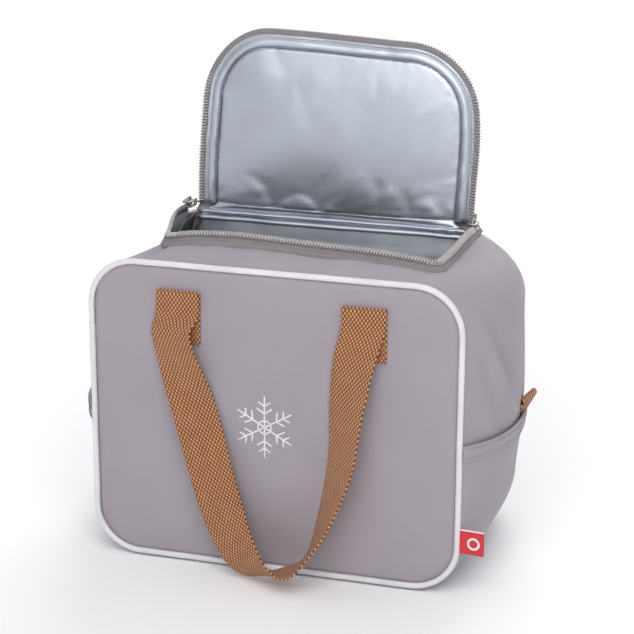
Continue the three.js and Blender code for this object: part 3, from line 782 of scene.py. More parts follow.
def hollow_side(points):
    """Draws in the left side just behind the front piping, above the pocket."""
    x, y, z = np.moveaxis(points, -1, 0)
    near_front = smoothstep(y, FRONT_Y, FRONT_Y + 10) * (1 - smoothstep(y, -40, 30))
    moved = points.copy()
    moved[..., 0] += LEFT_HOLLOW * near_front * smoothstep(-x, 120, 145) * smoothstep(z, 110, 170)
    return moved


def body_points():
    """The outer cloth as a grid, one row for each step round the rings and one column for each depth."""
    points = np.stack([ring(depth) for depth in DEPTHS], axis=1)
    x, z = points[..., 0].copy(), points[..., 2]
    top = z > BODY_TOP - 40
    # the front strip climbs from the piping to the lip
    climb = smoothstep(DEPTHS, -1.12, MOUTH_DEPTH)[None, :]
    rise = np.where(DEPTHS[None, :] <= MOUTH_DEPTH, climb, 1 - smoothstep(DEPTHS, MOUTH_DEPTH, -0.2)[None, :])
    raised = (lip_height(x) - SIDE_RIM) * rise * (1 - smoothstep(np.abs(x), 112, 150))
    points[..., 2] += np.where(top, raised, 0)
    for side, radius in MOUTH_CORNERS.items():
        round_mouth_corner(points, side, radius)
    normals = grid_normals(points)
    outward = unit(points - np.array([0, 0, 120]))
    normals *= np.sign((normals * outward).sum(axis=2, keepdims=True))
    push = 1.5 * lumps(points, 75, 1) + 0.45 * lumps(points, 24, 2)
    folds = np.where(x > 0, fold_depth(points, RIGHT_FOLDS), fold_depth(points, LEFT_FOLDS))
    push -= folds * smoothstep(np.abs(x), 125, 150)
    near_seam = np.exp(-(1 - np.abs(DEPTHS)) / 0.06)[None, :]
    pucker = lumps(points * (1, 0.3, 1), 11, 3)
    push = push * (1 - near_seam) + near_seam * (0.5 * pucker - 1.2)
    on_strip = top & (np.abs(x) < MOUTH_HALF + 5) & (DEPTHS[None, :] < MOUTH_DEPTH)
    push += np.where(on_strip, 2.4 * lumps(points * (1, 1.6, 1), 26, 4), 0) * (1 - near_seam)
    points += normals * push[..., None]
    points[..., 2] = np.maximum(points[..., 2], 0.5)
    return hollow_side(lean_mouth(points))


def make_body():
    """The outer cloth of the gusset: the strip before the mouth, both sides and the base."""
    points = body_points()
    rows = len(points)

    def keep(i, j):
        over_mouth = i < RIM_COLUMN or i >= rows - RIM_COLUMN
        return not (over_mouth and MOUTH_DEPTH - 1e-6 <= DEPTHS[j] < HINGE_DEPTH - 1e-6)

    body = sheet_piece("body_cloth", points, cloth, "bag", closed=True, keep=keep,
                       thickness=CLOTH_THICKNESS, outward=False)
    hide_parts("right_side_panel", "left_side_panel", "base_panel", "front_gusset",
                "right_side_foam", "left_side_foam", "base_foam")


make_body()

# ---------------------------------------------------------------- front and back panels


def front_frame(points):
    """From a panel's own frame, outward along -y, to the front of the bag."""
    return np.asarray(points, float) + (0, FRONT_Y, 0)


def back_frame(points):
    """From a panel's own frame to the back of the bag, which leans forward."""
    x, y, z = np.moveaxis(np.asarray(points, float), -1, 0)
    c, s = math.cos(BACK_ANGLE), math.sin(BACK_ANGLE)
    return np.stack([-x, BACK_Y - y * c - z * s, -y * s + z * c], axis=-1)


FRAMES = {"front": front_frame, "back": back_frame}
PANEL_MIDDLE = (PANEL_TOP + PANEL_BOTTOM) / 2
PANEL_RISE = (PANEL_TOP - PANEL_BOTTOM) / 2


def panel_out(x, z):
    """How far the padded panel stands out of the piping's plane, crowned and a little lumpy."""
    x, z = np.asarray(x, float), np.asarray(z, float)
    a = 1 - np.abs(x / (PANEL_HALF - PANEL_INSET)) ** 3.5
    b = 1 - np.abs((z - PANEL_MIDDLE) / (PANEL_RISE - PANEL_INSET)) ** 3.5
    crown = 2.2 * np.clip(a, 0, 1) * np.clip(b, 0, 1)
    places = np.stack([x, np.zeros_like(x), z], axis=-1)
    inward = np.clip(np.minimum(PANEL_HALF - np.abs(x), PANEL_RISE - np.abs(z - PANEL_MIDDLE)) / 26, 0, 1)
    return PANEL_PROUD + crown + inward * (0.7 * lumps(places, 85, 5) + 0.22 * lumps(places, 30, 6))


def panel_outline(inset, spacing=5.0):
    """A panel's outline as (x, z) points, clockwise from the middle of the base, not repeating the first."""
    radius = PANEL_CORNER - inset
    x = PANEL_HALF - inset - radius
    low, high = PANEL_BOTTOM + inset + radius, PANEL_TOP - inset - radius
    corners = [((-x, low), 270), ((-x, high), 180), ((x, high), 90), ((x, low), 0)]
    middle = np.array([[0.0, PANEL_BOTTOM + inset]])
    points = [middle]
    for turn in [arc(centre, radius, start, -90, 13) for centre, start in corners] + [middle]:
        side = spread(np.vstack([points[-1][-1:], turn[:1]]), spacing)[1:-1]
        points += [side, turn] if len(side) else [turn]
    return np.vstack(points)[:-1]


def make_panel(side):
    """A padded panel as rings from its outline in to its middle, tucked in at the piping."""
    to_world = FRAMES[side]
    outline = panel_outline(PIPING_RADIUS * 0.75)
    shares = np.concatenate([[1.0, 0.993, 0.985, 0.975, 0.96, 0.94], np.linspace(0.915, 0.0, 26)])
    middle = np.array([0.0, PANEL_MIDDLE])
    flat = np.stack([middle + (outline - middle) * share for share in shares], axis=1)
    out = panel_out(flat[..., 0], flat[..., 1])
    tuck = np.interp(shares, [0.96, 0.975, 0.985, 1.0], [0, 0.35, 1.0, 2.4])
    pucker = lumps(np.stack([flat[..., 0], 0 * out, flat[..., 1]], axis=-1), 9, 7)
    out = out - tuck[None, :] + 0.3 * pucker * np.exp(-((1 - shares) / 0.035))[None, :]
    points = to_world(np.stack([flat[..., 0], -out, flat[..., 1]], axis=-1))
    rows, columns = points.shape[:2]
    faces, corners = grid_faces(rows, columns, closed=True)
    uvs = [flat[i % rows, j] for i, j in corners]
    piece = make_object(side + "_panel_cloth", points.reshape(-1, 3), faces, uvs, cloth, "bag")
    merge_seams(piece, 0.05)
    thicken(piece, CLOTH_THICKNESS, outward=False)
    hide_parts(side + "_panel", side + "_foam")


def make_piping(side):
    """The covered cord in a panel's seam, a little uneven along its run."""
    to_world = FRAMES[side]
    outline = panel_outline(0.0, 4.0)
    path = to_world(np.column_stack([outline[:, 0], np.zeros(len(outline)), outline[:, 1]]))
    path += 0.25 * lumps(path, 40, 8)[:, None] * unit(path - (0, 0, PANEL_MIDDLE))
    radius = PIPING_RADIUS * (1 + 0.04 * lumps(path, 9, 9))
    grid = tube_points(path, radius, 12, up=(0, 1, 0), closed=True)
    piece = sheet_piece(side + "_piping_cord", grid, piping, "bag", closed=True)
    merge_seams(piece)
    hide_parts(side + "_piping")


for side in FRAMES:
    make_panel(side)
    make_piping(side)


# ---------------------------------------------------------------- stitches and coils


STITCH_SINK = 0.1  # how deep a stitch lies in its cloth


def stitch_row(path, normal, pitch, length, radius):
    """Grids for a row of short stitches along a path, standing on a surface with that normal."""
    path = spread(path, pitch)
    middle = (path[:-1] + path[1:]) / 2
    along = unit(path[1:] - path[:-1])
    normals = unit(np.broadcast_to(np.asarray(normal, float), middle.shape))
    grids = []
    for centre, direction, out in zip(middle, along, normals):
        ends = np.linspace(-0.5, 0.5, 4)[:, None] * length * direction
        lift = np.array([-0.3, 0.15, 0.15, -0.3])[:, None] * radius * 2 * out
        line = centre + ends + lift + (radius - STITCH_SINK) * out
        grids.append(tube_points(line, [radius * 0.5, radius, radius, radius * 0.5], 5, up=out))
    return grids


def make_stitches(name, rows, finish, body):
    """Rows of stitches as one piece."""
    joined_grids(name, [grid for row in rows for grid in row], finish, body)


COIL_PITCH = 2.5
COIL_TURN_STEPS = 8
COIL_UP = (0.13, 0.21, 0.97)  # a direction that the wound thread never runs along


def coil_grid(path, up, half_width, half_height, wire):
    """A zip coil: one thick thread wound in flattened turns along a path, flat side along up."""
    ups = np.broadcast_to(np.asarray(up, float), path.shape)
    both = spread(np.hstack([path, ups]), COIL_PITCH / COIL_TURN_STEPS)
    path, ups = both[:, :3], both[:, 3:]
    across = unit(np.cross(unit(np.gradient(path, axis=0)), ups))
    angle = 2 * math.pi * np.arange(len(path)) / COIL_TURN_STEPS
    cos, sin = np.cos(angle)[:, None], np.sin(angle)[:, None]
    line = path + half_width * cos * across + half_height * sin * unit(ups)
    return tube_points(line, wire, 5, up=COIL_UP)


# ---------------------------------------------------------------- mouth: binding, zip tape and coil

ROUTE_STEPS = {"side": 60, "corner": 14, "front": 110}
MOUTH_BACK_Y = HINGE.y - 4


def mouth_route():
    """The U-shaped seam round the mouth in plan, from back left by the front to back right."""
    def corner(side, start):
        radius = MOUTH_CORNERS[side]
        centre = side * (MOUTH_HALF - radius), MOUTH_FRONT_Y + radius
        return arc(centre, radius, start, 90, ROUTE_STEPS["corner"])

    left, right = corner(-1, 180), corner(1, 270)
    return np.vstack([
        straight((-MOUTH_HALF, MOUTH_BACK_Y), left[0], ROUTE_STEPS["side"])[:-1],
        left,
        straight(left[-1], right[0], ROUTE_STEPS["front"])[1:-1],
        right,
        straight(right[-1], (MOUTH_HALF, MOUTH_BACK_Y), ROUTE_STEPS["side"])[1:],
    ])


SEAM_ROUTE = mouth_route()
SEAM_HEIGHT = rim_height(SEAM_ROUTE[:, 0], SEAM_ROUTE[:, 1])
SEAM_ALONG = unit(np.gradient(SEAM_ROUTE, axis=0))
SEAM_INWARD = np.column_stack([-SEAM_ALONG[:, 1], SEAM_ALONG[:, 0]])
# The tape is lower where it meets the hinge. It leans in along the front and stands along the sides.
AT_HINGE = lerp(0.5, 1.0, 1 - smoothstep(SEAM_ROUTE[:, 1], 25, 70))
AT_FRONT = smoothstep(-SEAM_ROUTE[:, 1], 18, 60)
# Across the tape, as (inset, lift) stops from under the cloth up to its free edge.
MOUTH_SECTION = [(1.4, -6.5), (-0.6, -3.4), (-1.8, -1.8), (-0.6, 0.2), (0.6, 1.7), (2.2, 2.8), (4.2, 4.0),
                 (6.4, 5.2), (7.6, 5.8)]
MOUTH_COIL_AT = (4.2, 6.8)
MOUTH_COIL = {"half_width": 2.9, "half_height": 0.9, "wire": 0.48}


def mouth_line(inset, lift):
    """A line round the mouth, inset from the seam and lifted above it."""
    plan = SEAM_ROUTE + SEAM_INWARD * (inset * lerp(0.55, 1.0, AT_FRONT))[:, None]
    line = np.column_stack([plan, SEAM_HEIGHT + lift * AT_HINGE + 2.0 * (1 - AT_HINGE)])
    return lean_mouth(line)


def mouth_up():
    """The direction that the tape's outer face looks in along the mouth."""
    tilt = lerp(0.85, 0.55, AT_FRONT)
    return unit(np.column_stack([-SEAM_INWARD * tilt[:, None], 1 - 0.3 * tilt]))


def make_mouth():
    """The zip's half round the mouth: its tape, its coil and the seam below it."""
    points = np.stack([mouth_line(inset, lift) for inset, lift in MOUTH_SECTION], axis=1)
    points[..., 2] += 0.45 * lumps(points, 16, 11)
    tape = sheet_piece("mouth_tape", points, zip_tape, "bag", thickness=TAPE_THICKNESS)
    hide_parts("mouth_zip_tape")
    turns = coil_grid(mouth_line(*MOUTH_COIL_AT), mouth_up(), **MOUTH_COIL)
    coil = sheet_piece("mouth_coil", turns, zip_coil, "bag")
    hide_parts("mouth_zip_coil")
    rows = [stitch_row(mouth_line(0.2, 2.2), (0, -0.5, 0.8), 2.9, 2.0, 0.26)]
    make_stitches("mouth_stitches", rows, cloth_thread, "bag")


make_mouth()

# ---------------------------------------------------------------- lid

LID_START = 0.8  # the lid starts this far above the hinge's axis
LID_CORNER = 50.0
LID_STEPS = {"side": 34, "corner": 18, "top": 52}


def lid_frame(points):
    """From the lid's own frame, where z runs up the open lid and y out of its back, to the bag."""
    x, y, z = np.moveaxis(np.asarray(points, float), -1, 0)
    c, s = math.cos(LID_LEAN), math.sin(LID_LEAN)
    return np.stack([x, HINGE.y + y * c + z * s, HINGE.z - y * s + z * c], axis=-1)


def lid_arch(outset):
    """The lid's edge as (x, z) points, from its lower left over the top to its lower right."""
    half, top, radius = LID_HALF + outset, LID_LENGTH + outset, LID_CORNER + outset
    first = arc((radius - half, top - radius), radius, 180, -90, LID_STEPS["corner"])
    second = arc((half - radius, top - radius), radius, 90, -90, LID_STEPS["corner"])
    arch = np.vstack([
        straight((-half, LID_START), first[0], LID_STEPS["side"])[:-1],
        first,
        straight(first[-1], second[0], LID_STEPS["top"])[1:-1],
        second,
        straight(second[-1], (half, LID_START), LID_STEPS["side"])[1:],
    ])
    x, z = arch[:, 0].copy(), arch[:, 1].copy()
    # the left side leans in, the right side bulges and the top slopes down to the right
    arch[:, 0] += (2.0 + 5 * smoothstep(z, 20, 130)) * smoothstep(-x, 20, 110)
    arch[:, 0] += 2.4 * np.exp(-(((z - 66) / 34) ** 2)) * smoothstep(x, 60, 110)
    arch[:, 1] += (0.4 - 5.5 * smoothstep(x, -60, 95)) * smoothstep(z, 50, 140)
    return arch


def arch_strip(section, wobble=0.0, seed=0):
    """A strip that runs round the lid, from (outset, y) stops across it, as a grid in the lid's frame."""
    lines = []
    for outset, y in section:
        arch = lid_arch(outset)
        lines.append(np.column_stack([arch[:, 0], np.full(len(arch), y), arch[:, 1]]))
    points = np.stack(lines, axis=1)
    points[..., 1] += wobble * lumps(points, 13, seed)
    return points


COIL_TUCK = 4.2  # over the top of the lid the coil turns to the back of its tape
LINING_INSET = 6.4
LINING_ROWS, LINING_COLUMNS = 60, 76
# The foil below the lid, where it folds over the hinge into the bag, as (y, z) stops from the bottom up.
HINGE_FOLDS = [(76.5, 236), (71.5, 241), (67.0, 244.6), (67.3, 247.0), (70.6, 248.4), (68.2, 250.4),
               (68.6, 252.0), (71.4, 253.2), (70.0, 256.0), (70.0, 260.0)]
HINGE_ROWS = 34
HINGE_FOIL_HALF = 117.0


def edge_distance(x, z, arch):
    """How far each point of the lid lies from its arched edge."""
    gaps = np.stack([x, z], axis=-1)[..., None, :] - arch
    return np.linalg.norm(gaps, axis=-1).min(axis=-1)


def lid_plane_grid(outset, rows, columns):
    """The lid's area as rows of (x, z) points from its left edge to its right edge, and its arch."""
    arch = lid_arch(outset)
    reach = LID_STEPS["side"] + LID_STEPS["corner"] - 1
    left, right = (spread(side[:reach], 1.0) for side in (arch, arch[::-1]))
    at = np.linspace(0, 1, rows)
    left, right = (
        np.stack([np.interp(at, np.linspace(0, 1, len(side)), side[:, k]) for k in range(2)], axis=1)
        for side in (left, right)
    )
    return lerp(left[:, None], right[:, None], np.linspace(0, 1, columns)[None, :, None]), arch


# Where the slack foil bags out above the hinge, as (middle x, half width, height, how far out).
FOIL_BAGS = [(-74, 25, 27, 1.3), (-28, 22, 13, 0.8), (16, 27, 44, 1.9), (51, 17, 31, 1.4), (80, 15, 18, 0.8)]
# How the slack foil is settled, and how far it may move forward and back.
FOIL_SETTLING = {"frames": 36, "slack": 0.05, "pull": (0, -2.0, -4.0), "bending": 12.0}
FOIL_MOVE = (-8.0, 5.0)
# Long soft folds in the foil, as (x, z) ends, half width and depth.
FOIL_FOLDS = [((-42, 122), (4, 44), 11, 1.0), ((-96, 92), (-84, 40), 6, 0.6)]


def lining_out(x, z, edge):
    """How far the lid's foil lining stands out in front of its seam's plane before it settles."""
    places = np.stack([x, np.zeros_like(x), z], axis=-1)
    crown = 3.4 * smoothstep(edge, 0, 26)
    soft = 0.7 * lumps(places, 52, 21) + 0.25 * lumps(places * (1, 1, 0.7), 24, 22)
    low = 1 - smoothstep(z, 22, 62)
    bags = np.zeros_like(x)
    warp = 4.0 * lumps(places, 20, 28)
    for middle, half_width, height, out in FOIL_BAGS:
        reach = np.hypot((x + warp - middle) / half_width, (z + 0.6 * warp) / height)
        bags = np.maximum(bags, out * (1 - smoothstep(reach, 0.62, 1.08)))
    folds = -fold_depth(np.stack([np.zeros_like(x), x, z], axis=-1), FOIL_FOLDS)
    pucker = lumps(places, 7.0, 23) * np.exp(-(((edge - 4) / 4.5) ** 2))
    pucker = pucker * (1 - 0.8 * smoothstep(z, 95, 120))
    crumple = 0.4 * low * lumps(places, 9.0, 29)
    return crown + (soft * (1 + low) + bags + folds + crumple) * smoothstep(edge, 2, 14) + pucker


def make_lining():
    """The foil lining of the lid, which runs on down over the hinge into the bag."""
    flat, arch = lid_plane_grid(-LINING_INSET, LINING_ROWS, LINING_COLUMNS)
    x, z = flat[..., 0], flat[..., 1]
    edge = edge_distance(x, z, arch)
    tuck = 2.4 * (1 - smoothstep(edge, 0, 3))
    upper = lid_frame(np.stack([x, tuck - 1.0 - lining_out(x, z, edge), z], axis=-1))
    folds = spline(HINGE_FOLDS, HINGE_ROWS)
    share = np.linspace(0, 1, HINGE_ROWS)[:, None]
    wide = lerp(HINGE_FOIL_HALF, LID_HALF - LINING_INSET, smoothstep(share, 0.55, 1.0))
    u = np.linspace(-1, 1, LINING_COLUMNS)
    lower = np.stack([
        wide * u,
        np.repeat(folds[:, :1], LINING_COLUMNS, axis=1),
        np.repeat(folds[:, 1:], LINING_COLUMNS, axis=1),
    ], axis=-1)
    join = smoothstep(share, 0.75, 1.0)
    below_lid = lower.copy()
    below_lid[..., :2] = upper[0][None, :, :2]
    lower = lerp(lower, below_lid, join[..., None])
    crease = 1.3 * lumps(lower * (0.35, 1, 1), 13, 31)
    crease += 1.6 * smoothstep(np.abs(lower[..., 0]), 75, 108) * lumps(lower, 8, 32)
    lower[..., 1] += crease * smoothstep(share, 0.1, 0.3) * (1 - join)
    lower[..., 2] += 0.5 * crease * smoothstep(share, 0.1, 0.3) * (1 - join)
    points = np.concatenate([lower[:-1], upper])
    piece = sheet_piece("lid_lining_foil", points, foil, None)
    settle_lining(piece, points, edge)
    thicken(piece, FOIL_THICKNESS, outward=False)
    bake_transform(piece)
    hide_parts("lid_lining", "hinge_roll")


def settle_lining(piece, points, edge):
    """Lets the slack foil sag in folds between its seams by a cloth simulation. The slack is low down."""
    height = points[..., 2] - HINGE.z
    held = np.ones(points.shape[:2])
    held[HINGE_ROWS - 1:] = 1 - smoothstep(edge, 1.5, 4.0)
    held[HINGE_ROWS - 1:HINGE_ROWS + 1] = 1
    loose = 0.08 + 0.92 * (1 - smoothstep(height, 22, 70))
    settled = settle(piece, held.ravel(), loose.ravel(), **FOIL_SETTLING)
    move = settled - points.reshape(-1, 3)
    move[:, 1] = np.clip(move[:, 1], *FOIL_MOVE)
    set_points(piece, points.reshape(-1, 3) + move)


# Strips that run round the lid, as (outset, y) stops across them.
RIM_SECTION = [(0.6, 0.8), (2.0, 2.2), (2.6, 4.4), (2.0, 6.8), (0.4, 8.4)]
FLANGE_SECTION = [(4.6, 1.4), (4.1, -0.6), (3.2, -1.7), (2.1, -1.5), (1.2, -0.2), (0.4, -0.9), (-1.2, -2.2),
                  (-3.0, -2.8), (-4.8, -2.6), (-6.0, -1.2), (-6.7, 1.4)]
TAPE_SECTION = [(0.8, 1.7), (3.0, 1.0), (4.8, -0.2), (6.4, -0.3), (8.2, 0.4)]
LID_COIL_AT = (7.0, -1.4)
LID_COIL = {"half_width": 2.2, "half_height": 0.95, "wire": 0.55}
LID_SEAMS_AT = [(-6.4, -2.8), (3.4, -1.9)]


def make_lid():
    """The lid's outer cloth, its rim, the foil flange inside the rim, and its half of the zip."""
    rim = arch_strip(RIM_SECTION)
    flat, arch = lid_plane_grid(-0.5, 40, 48)
    edge = edge_distance(flat[..., 0], flat[..., 1], arch)
    places = np.stack([flat[..., 0], 0 * edge, flat[..., 1]], axis=-1)
    uneven = 1.0 * lumps(places, 60, 24) + 0.4 * lumps(places, 25, 27)
    back = LID_THICKNESS + 0.1 + 1.0 * smoothstep(edge, 0, 34) + 0.6 * uneven * smoothstep(edge, 0, 25)
    outer = lid_frame(np.stack([flat[..., 0], back, flat[..., 1]], axis=-1))
    panel = sheet_piece("lid_cloth", outer, cloth, "lid", thickness=CLOTH_THICKNESS)
    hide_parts("lid_panel", "lid_foam")
    gusset = sheet_piece("lid_gusset", lid_frame(rim), cloth, "lid", thickness=1.0, outward=False)
    flange = lid_frame(arch_strip(FLANGE_SECTION, 0.7, 25))
    flange_piece = sheet_piece("lid_flange", flange, foil, "lid", thickness=FOIL_THICKNESS,
                               outward=False)
    tape = lid_frame(arch_strip(TAPE_SECTION, 0.3, 26))
    tape_piece = sheet_piece("lid_tape", tape, zip_tape, "lid", thickness=TAPE_THICKNESS)
    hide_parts("lid_zip_tape")
    arch = arch_strip([LID_COIL_AT], 0.3, 26)[:, 0]
    arch[:, 1] += COIL_TUCK * smoothstep(arch[:, 2], 96, 128)
    turns = lid_frame(coil_grid(arch, (0, 1, 0), **LID_COIL))
    coil = sheet_piece("lid_coil", turns, zip_coil, "lid")
    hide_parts("lid_zip_coil")
    seams = [lid_frame(arch_strip([at])[:, 0]) for at in LID_SEAMS_AT]
    rows = [stitch_row(seam, (0, -1, 0), 3.4, 2.2, 0.24) for seam in seams]
    make_stitches("lid_stitches", rows, cloth_thread, "lid")


HINGE_CLOTH_HALF = 121.0
HINGE_SECTION = [(72.5, 250.6), (75.5, 252.2), (79.0, 253.4), (81.6, 256.2), (82.3, 259.5), (82.8, 263.0)]


def make_hinge():
    """The strip of cloth outside the hinge, over which the lid turns."""
    x = np.linspace(-HINGE_CLOTH_HALF, HINGE_CLOTH_HALF, 60)
    back = spline(HINGE_SECTION, 16)
    lines = [np.stack([x, np.full_like(x, y), np.full_like(x, z)], axis=-1) for y, z in back]
    points = np.stack(lines, axis=1)
    points[..., 1] += 0.5 * lumps(points, 22, 33)
    strip = sheet_piece("hinge_cloth", points, cloth, None, thickness=CLOTH_THICKNESS,
                        outward=False)
    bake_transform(strip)


make_lid()
make_lining()
make_hinge()

# ---------------------------------------------------------------- foil inside of the bag

NECK_HALF = MOUTH_HALF - 9.4  # half the foil's width where it meets the mouth


def inner_ring(depth):
    """A ring moved inward to the lining, from one side of the mouth round the base to the other side."""
    whole = ring(depth)
    flat = whole[:, [0, 2]]
    along = np.roll(flat, -1, axis=0) - np.roll(flat, 1, axis=0)
    normal = unit(np.column_stack([along[:, 1], -along[:, 0]]))
    facing = np.sign((normal * (np.array([0, 120]) - flat)).sum(axis=1))[:, None]
    inward = flat + LINER_DEPTH * normal * facing
    part = inward[RIM_COLUMN + 3:len(whole) - RIM_COLUMN - 2]
    side = np.array([NECK_HALF, SIDE_RIM - 1.0])
    below = np.array([MOUTH_HALF - 6.0, SIDE_RIM - 6.0])
    points = np.vstack([side, below, part, below * (-1, 1), side * (-1, 1)])
    return np.column_stack([points[:, 0], np.full(len(points), 0.0), points[:, 1]])


LINING_FRONT = -0.905
LINING_BACK = 0.9
WALL_TOP = 236.0  # above this the foil walls draw in to the mouth
WALL_ROWS, WALL_COLUMNS = 34, 60
LEFT_TRIM = 5.0  # the walls are narrower by this under the sunken left shoulder
LEFT_NECK_TRIM = 3.0  # and by this above it
LEFT_CORNER_TUCK = np.array([11.0, 0.0, -13.0])  # of the lining's front left corner, under the mouth
BACK_SAG = 13.0  # the back wall's foil comes this far forward below the hinge
# The walls' upper ends, where they draw in to the mouth, as (y, z) stops.
FRONT_NECK = np.array([(-80.0, 240.0), (-76.5, 245.0), (-71.5, 249.5), (-65.0, 253.5), (-59.5, 258.0)])
BACK_NECK = np.array([(68.5, 240.0), (68.3, 244.0), (69.0, 247.0)])


def foil_wall(depth, neck, seed, sign):
    """A foil wall across the bag at a depth, with its neck, rippling towards the bag's middle by sign."""
    line = inner_ring(depth)
    middle = len(line) // 2
    heights = np.concatenate([np.linspace(line[:, 2].min(), WALL_TOP, WALL_ROWS), neck[:, 1]])
    in_neck = heights > WALL_TOP
    widths = {}
    for side, half_line in ((1, line[:middle][::-1]), (-1, line[middle:])):
        edge = np.abs(half_line[:, 0])
        width = np.interp(heights, np.maximum.accumulate(half_line[:, 2]), edge)
        width -= LEFT_TRIM * smoothstep(heights, 185, 215) * (side < 0)
        width[in_neck] = np.linspace(width[~in_neck][-1], NECK_HALF, in_neck.sum())
        width[in_neck] -= LEFT_NECK_TRIM * (side < 0)
        widths[side] = width
    y = np.concatenate([body_y(depth, heights[:WALL_ROWS]), neck[:, 0]])
    u = np.linspace(-1, 1, WALL_COLUMNS)[:, None]
    x = np.where(u < 0, u * widths[-1], u * widths[1])
    grid = np.stack([x, np.broadcast_to(y, x.shape), np.broadcast_to(heights, x.shape)], axis=-1)
    ripples = 1.8 * lumps(grid, 48, seed) + 0.8 * lumps(grid * (1, 1, 0.5), 17, seed + 1)
    fade = smoothstep(1 - np.abs(u), 0, 0.12) * smoothstep(np.arange(len(y)), 0, 4)[None, :]
    grid[..., 1] += sign * (np.abs(ripples) * 0.6 + 0.4 * ripples) * fade
    return grid


def make_inside():
    """The foil lining of the sides and base in one sheet, and the front and back walls, all in the darker
    inside foil that is painted shade.
    """
    depths = np.linspace(LINING_FRONT, LINING_BACK, 26)
    rings = []
    for depth in depths:
        line = inner_ring(depth)
        line[:, 1] = body_y(depth, line[:, 2])
        rings.append(line)
    points = np.stack(rings, axis=1)
    inward = unit(np.array([0, 0, 125]) - points * (1, 0, 1))
    wrinkle = 1.3 * lumps(points, 42, 41) + 0.6 * lumps(points, 15, 42)
    wrinkle *= smoothstep(1 - np.abs(depths), 0.09, 0.2)[None, :]
    points += inward * (wrinkle + 0.6)[..., None]
    points = hollow_side(lean_mouth(points))
    x, y, z = np.moveaxis(points, -1, 0)
    corner = smoothstep(-y, 42, 60) * smoothstep(-x, 75, 98) * smoothstep(z, 200, 232)
    points += corner[..., None] * LEFT_CORNER_TUCK
    wrap = sheet_piece("inner_foil_wrap", points, inner_foil, "bag", thickness=FOIL_THICKNESS,
                       outward=False)
    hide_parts("right_side_lining", "left_side_lining", "base_lining")

    grid = foil_wall(LINING_FRONT, FRONT_NECK, 43, 1)
    neck_top = FRONT_NECK[-1, 1]
    grid[..., 2] += (lip_height(grid[..., 0]) - neck_top) * smoothstep(grid[..., 2], neck_top - 20, neck_top)
    grid = lean_mouth(grid)
    front = sheet_piece("inner_foil_front", grid, inner_foil, "bag", thickness=FOIL_THICKNESS)
    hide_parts("front_lining")
    grid = foil_wall(LINING_BACK, BACK_NECK, 45, -1)
    sag = BACK_SAG * smoothstep(grid[..., 2], 150, 226) * (1 - smoothstep(grid[..., 2], 226, 245))
    grid[..., 1] -= sag * (1 - (grid[..., 0] / MOUTH_HALF) ** 2).clip(0, 1) ** 0.5
    back = sheet_piece("inner_foil_back", grid, inner_foil, "bag", thickness=FOIL_THICKNESS)
    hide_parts("back_lining")


make_inside()

# ---------------------------------------------------------------- handles

# The loop's middle and the direction across it, in the panel's frame, hanging from both folds.
LOOP_STOPS = [
    ((-75, -6.6, 219), (1, 0, 0)),
    ((-76.2, -6.5, 209), (1, -0.03, 0)),
    ((-80.1, -9.5, 195.7), (0.97, -0.23, 0.02)),
    ((-72.9, -10, 169.6), (0.98, -0.12, 0.16)),
    ((-61.2, -11, 136.8), (0.94, 0.27, 0.22)),
    ((-50, -14, 99.1), (0.94, 0.17, 0.28)),
    ((-37.1, -18, 59.9), (0.92, 0.07, 0.38)),
    ((-20.8, -25, 27.7), (0.79, -0.19, 0.58)),
    ((-3, -29, 12.1), (0.62, -0.6, 0.51)),
    ((19.4, -29, 14.1), (0.34, -0.93, 0.17)),
    ((36, -26, 27.9), (0.27, -0.92, 0.28)),
    ((49.6, -20.4, 62), (0.51, -0.86, 0.07)),
    ((60.5, -17.4, 105.9), (0.72, -0.69, -0.09)),
    ((63.7, -13.9, 150.2), (0.87, -0.49, -0.12)),
    ((68.3, -8.9, 187.5), (0.98, -0.2, -0.06)),
    ((73.2, -6.5, 208), (1, -0.03, 0)),
    ((75, -6.6, 219), (1, 0, 0)),
]
FOLD_OUT = abs(FRONT_FOLD.y - FRONT_Y)  # the fold's axis, in front of the panel's plane
FOLD_Z = FRONT_FOLD.z
FOLD_RADIUS = 2.15
SEWN_ROWS = 14  # rows of cloth in each sewn end
FOLD_ROWS = 9  # and over each fold
SEWN_GAP = 0.1
LOOP_CLEAR = 5.75  # the loop's edges come no nearer the panel's plane than this
FOLD_BEND = (1.55, 0.1)  # two distances inside that; the ends of a bend are worked out from them below but not used
SEWN_CUP = 0.2  # the sewn ends are this share as curved as the loop
BOX_INSET, BOX_TOP = 3.0, FOLD_Z - 6  # where the stitched box lies in each sewn end


def strap_line():
    """The whole strap in the panel's frame: up one sewn end, over its fold, round the loop and down again."""
    stops = np.array([at for at, _ in LOOP_STOPS], float)
    turns = np.array([across for _, across in LOOP_STOPS], float)
    loop, across = spline(stops, 150), spline(turns, 150)

    def end(x):
        z = np.linspace(HANDLE_END_Z, FOLD_Z - 1, SEWN_ROWS)
        out = panel_out(np.full(SEWN_ROWS, x), z) + SEWN_GAP + WEBBING / 2
        sewn = np.column_stack([np.full(SEWN_ROWS, x), -out, z])
        angles = np.radians(np.linspace(20, 180, FOLD_ROWS))
        fold = np.column_stack([
            np.full(FOLD_ROWS, x),
            -FOLD_OUT + FOLD_RADIUS * np.cos(angles),
            FOLD_Z + FOLD_RADIUS * 1.15 * np.sin(angles),
        ])
        return np.vstack([sewn, fold])

    left, right = end(-HANDLE_X), end(HANDLE_X)[::-1]
    centre = np.vstack([left, loop[2:-2], right])
    flat = np.tile([1.0, 0.0, 0.0], (len(left), 1))
    return centre, unit(np.vstack([flat, across[2:-2], flat]))


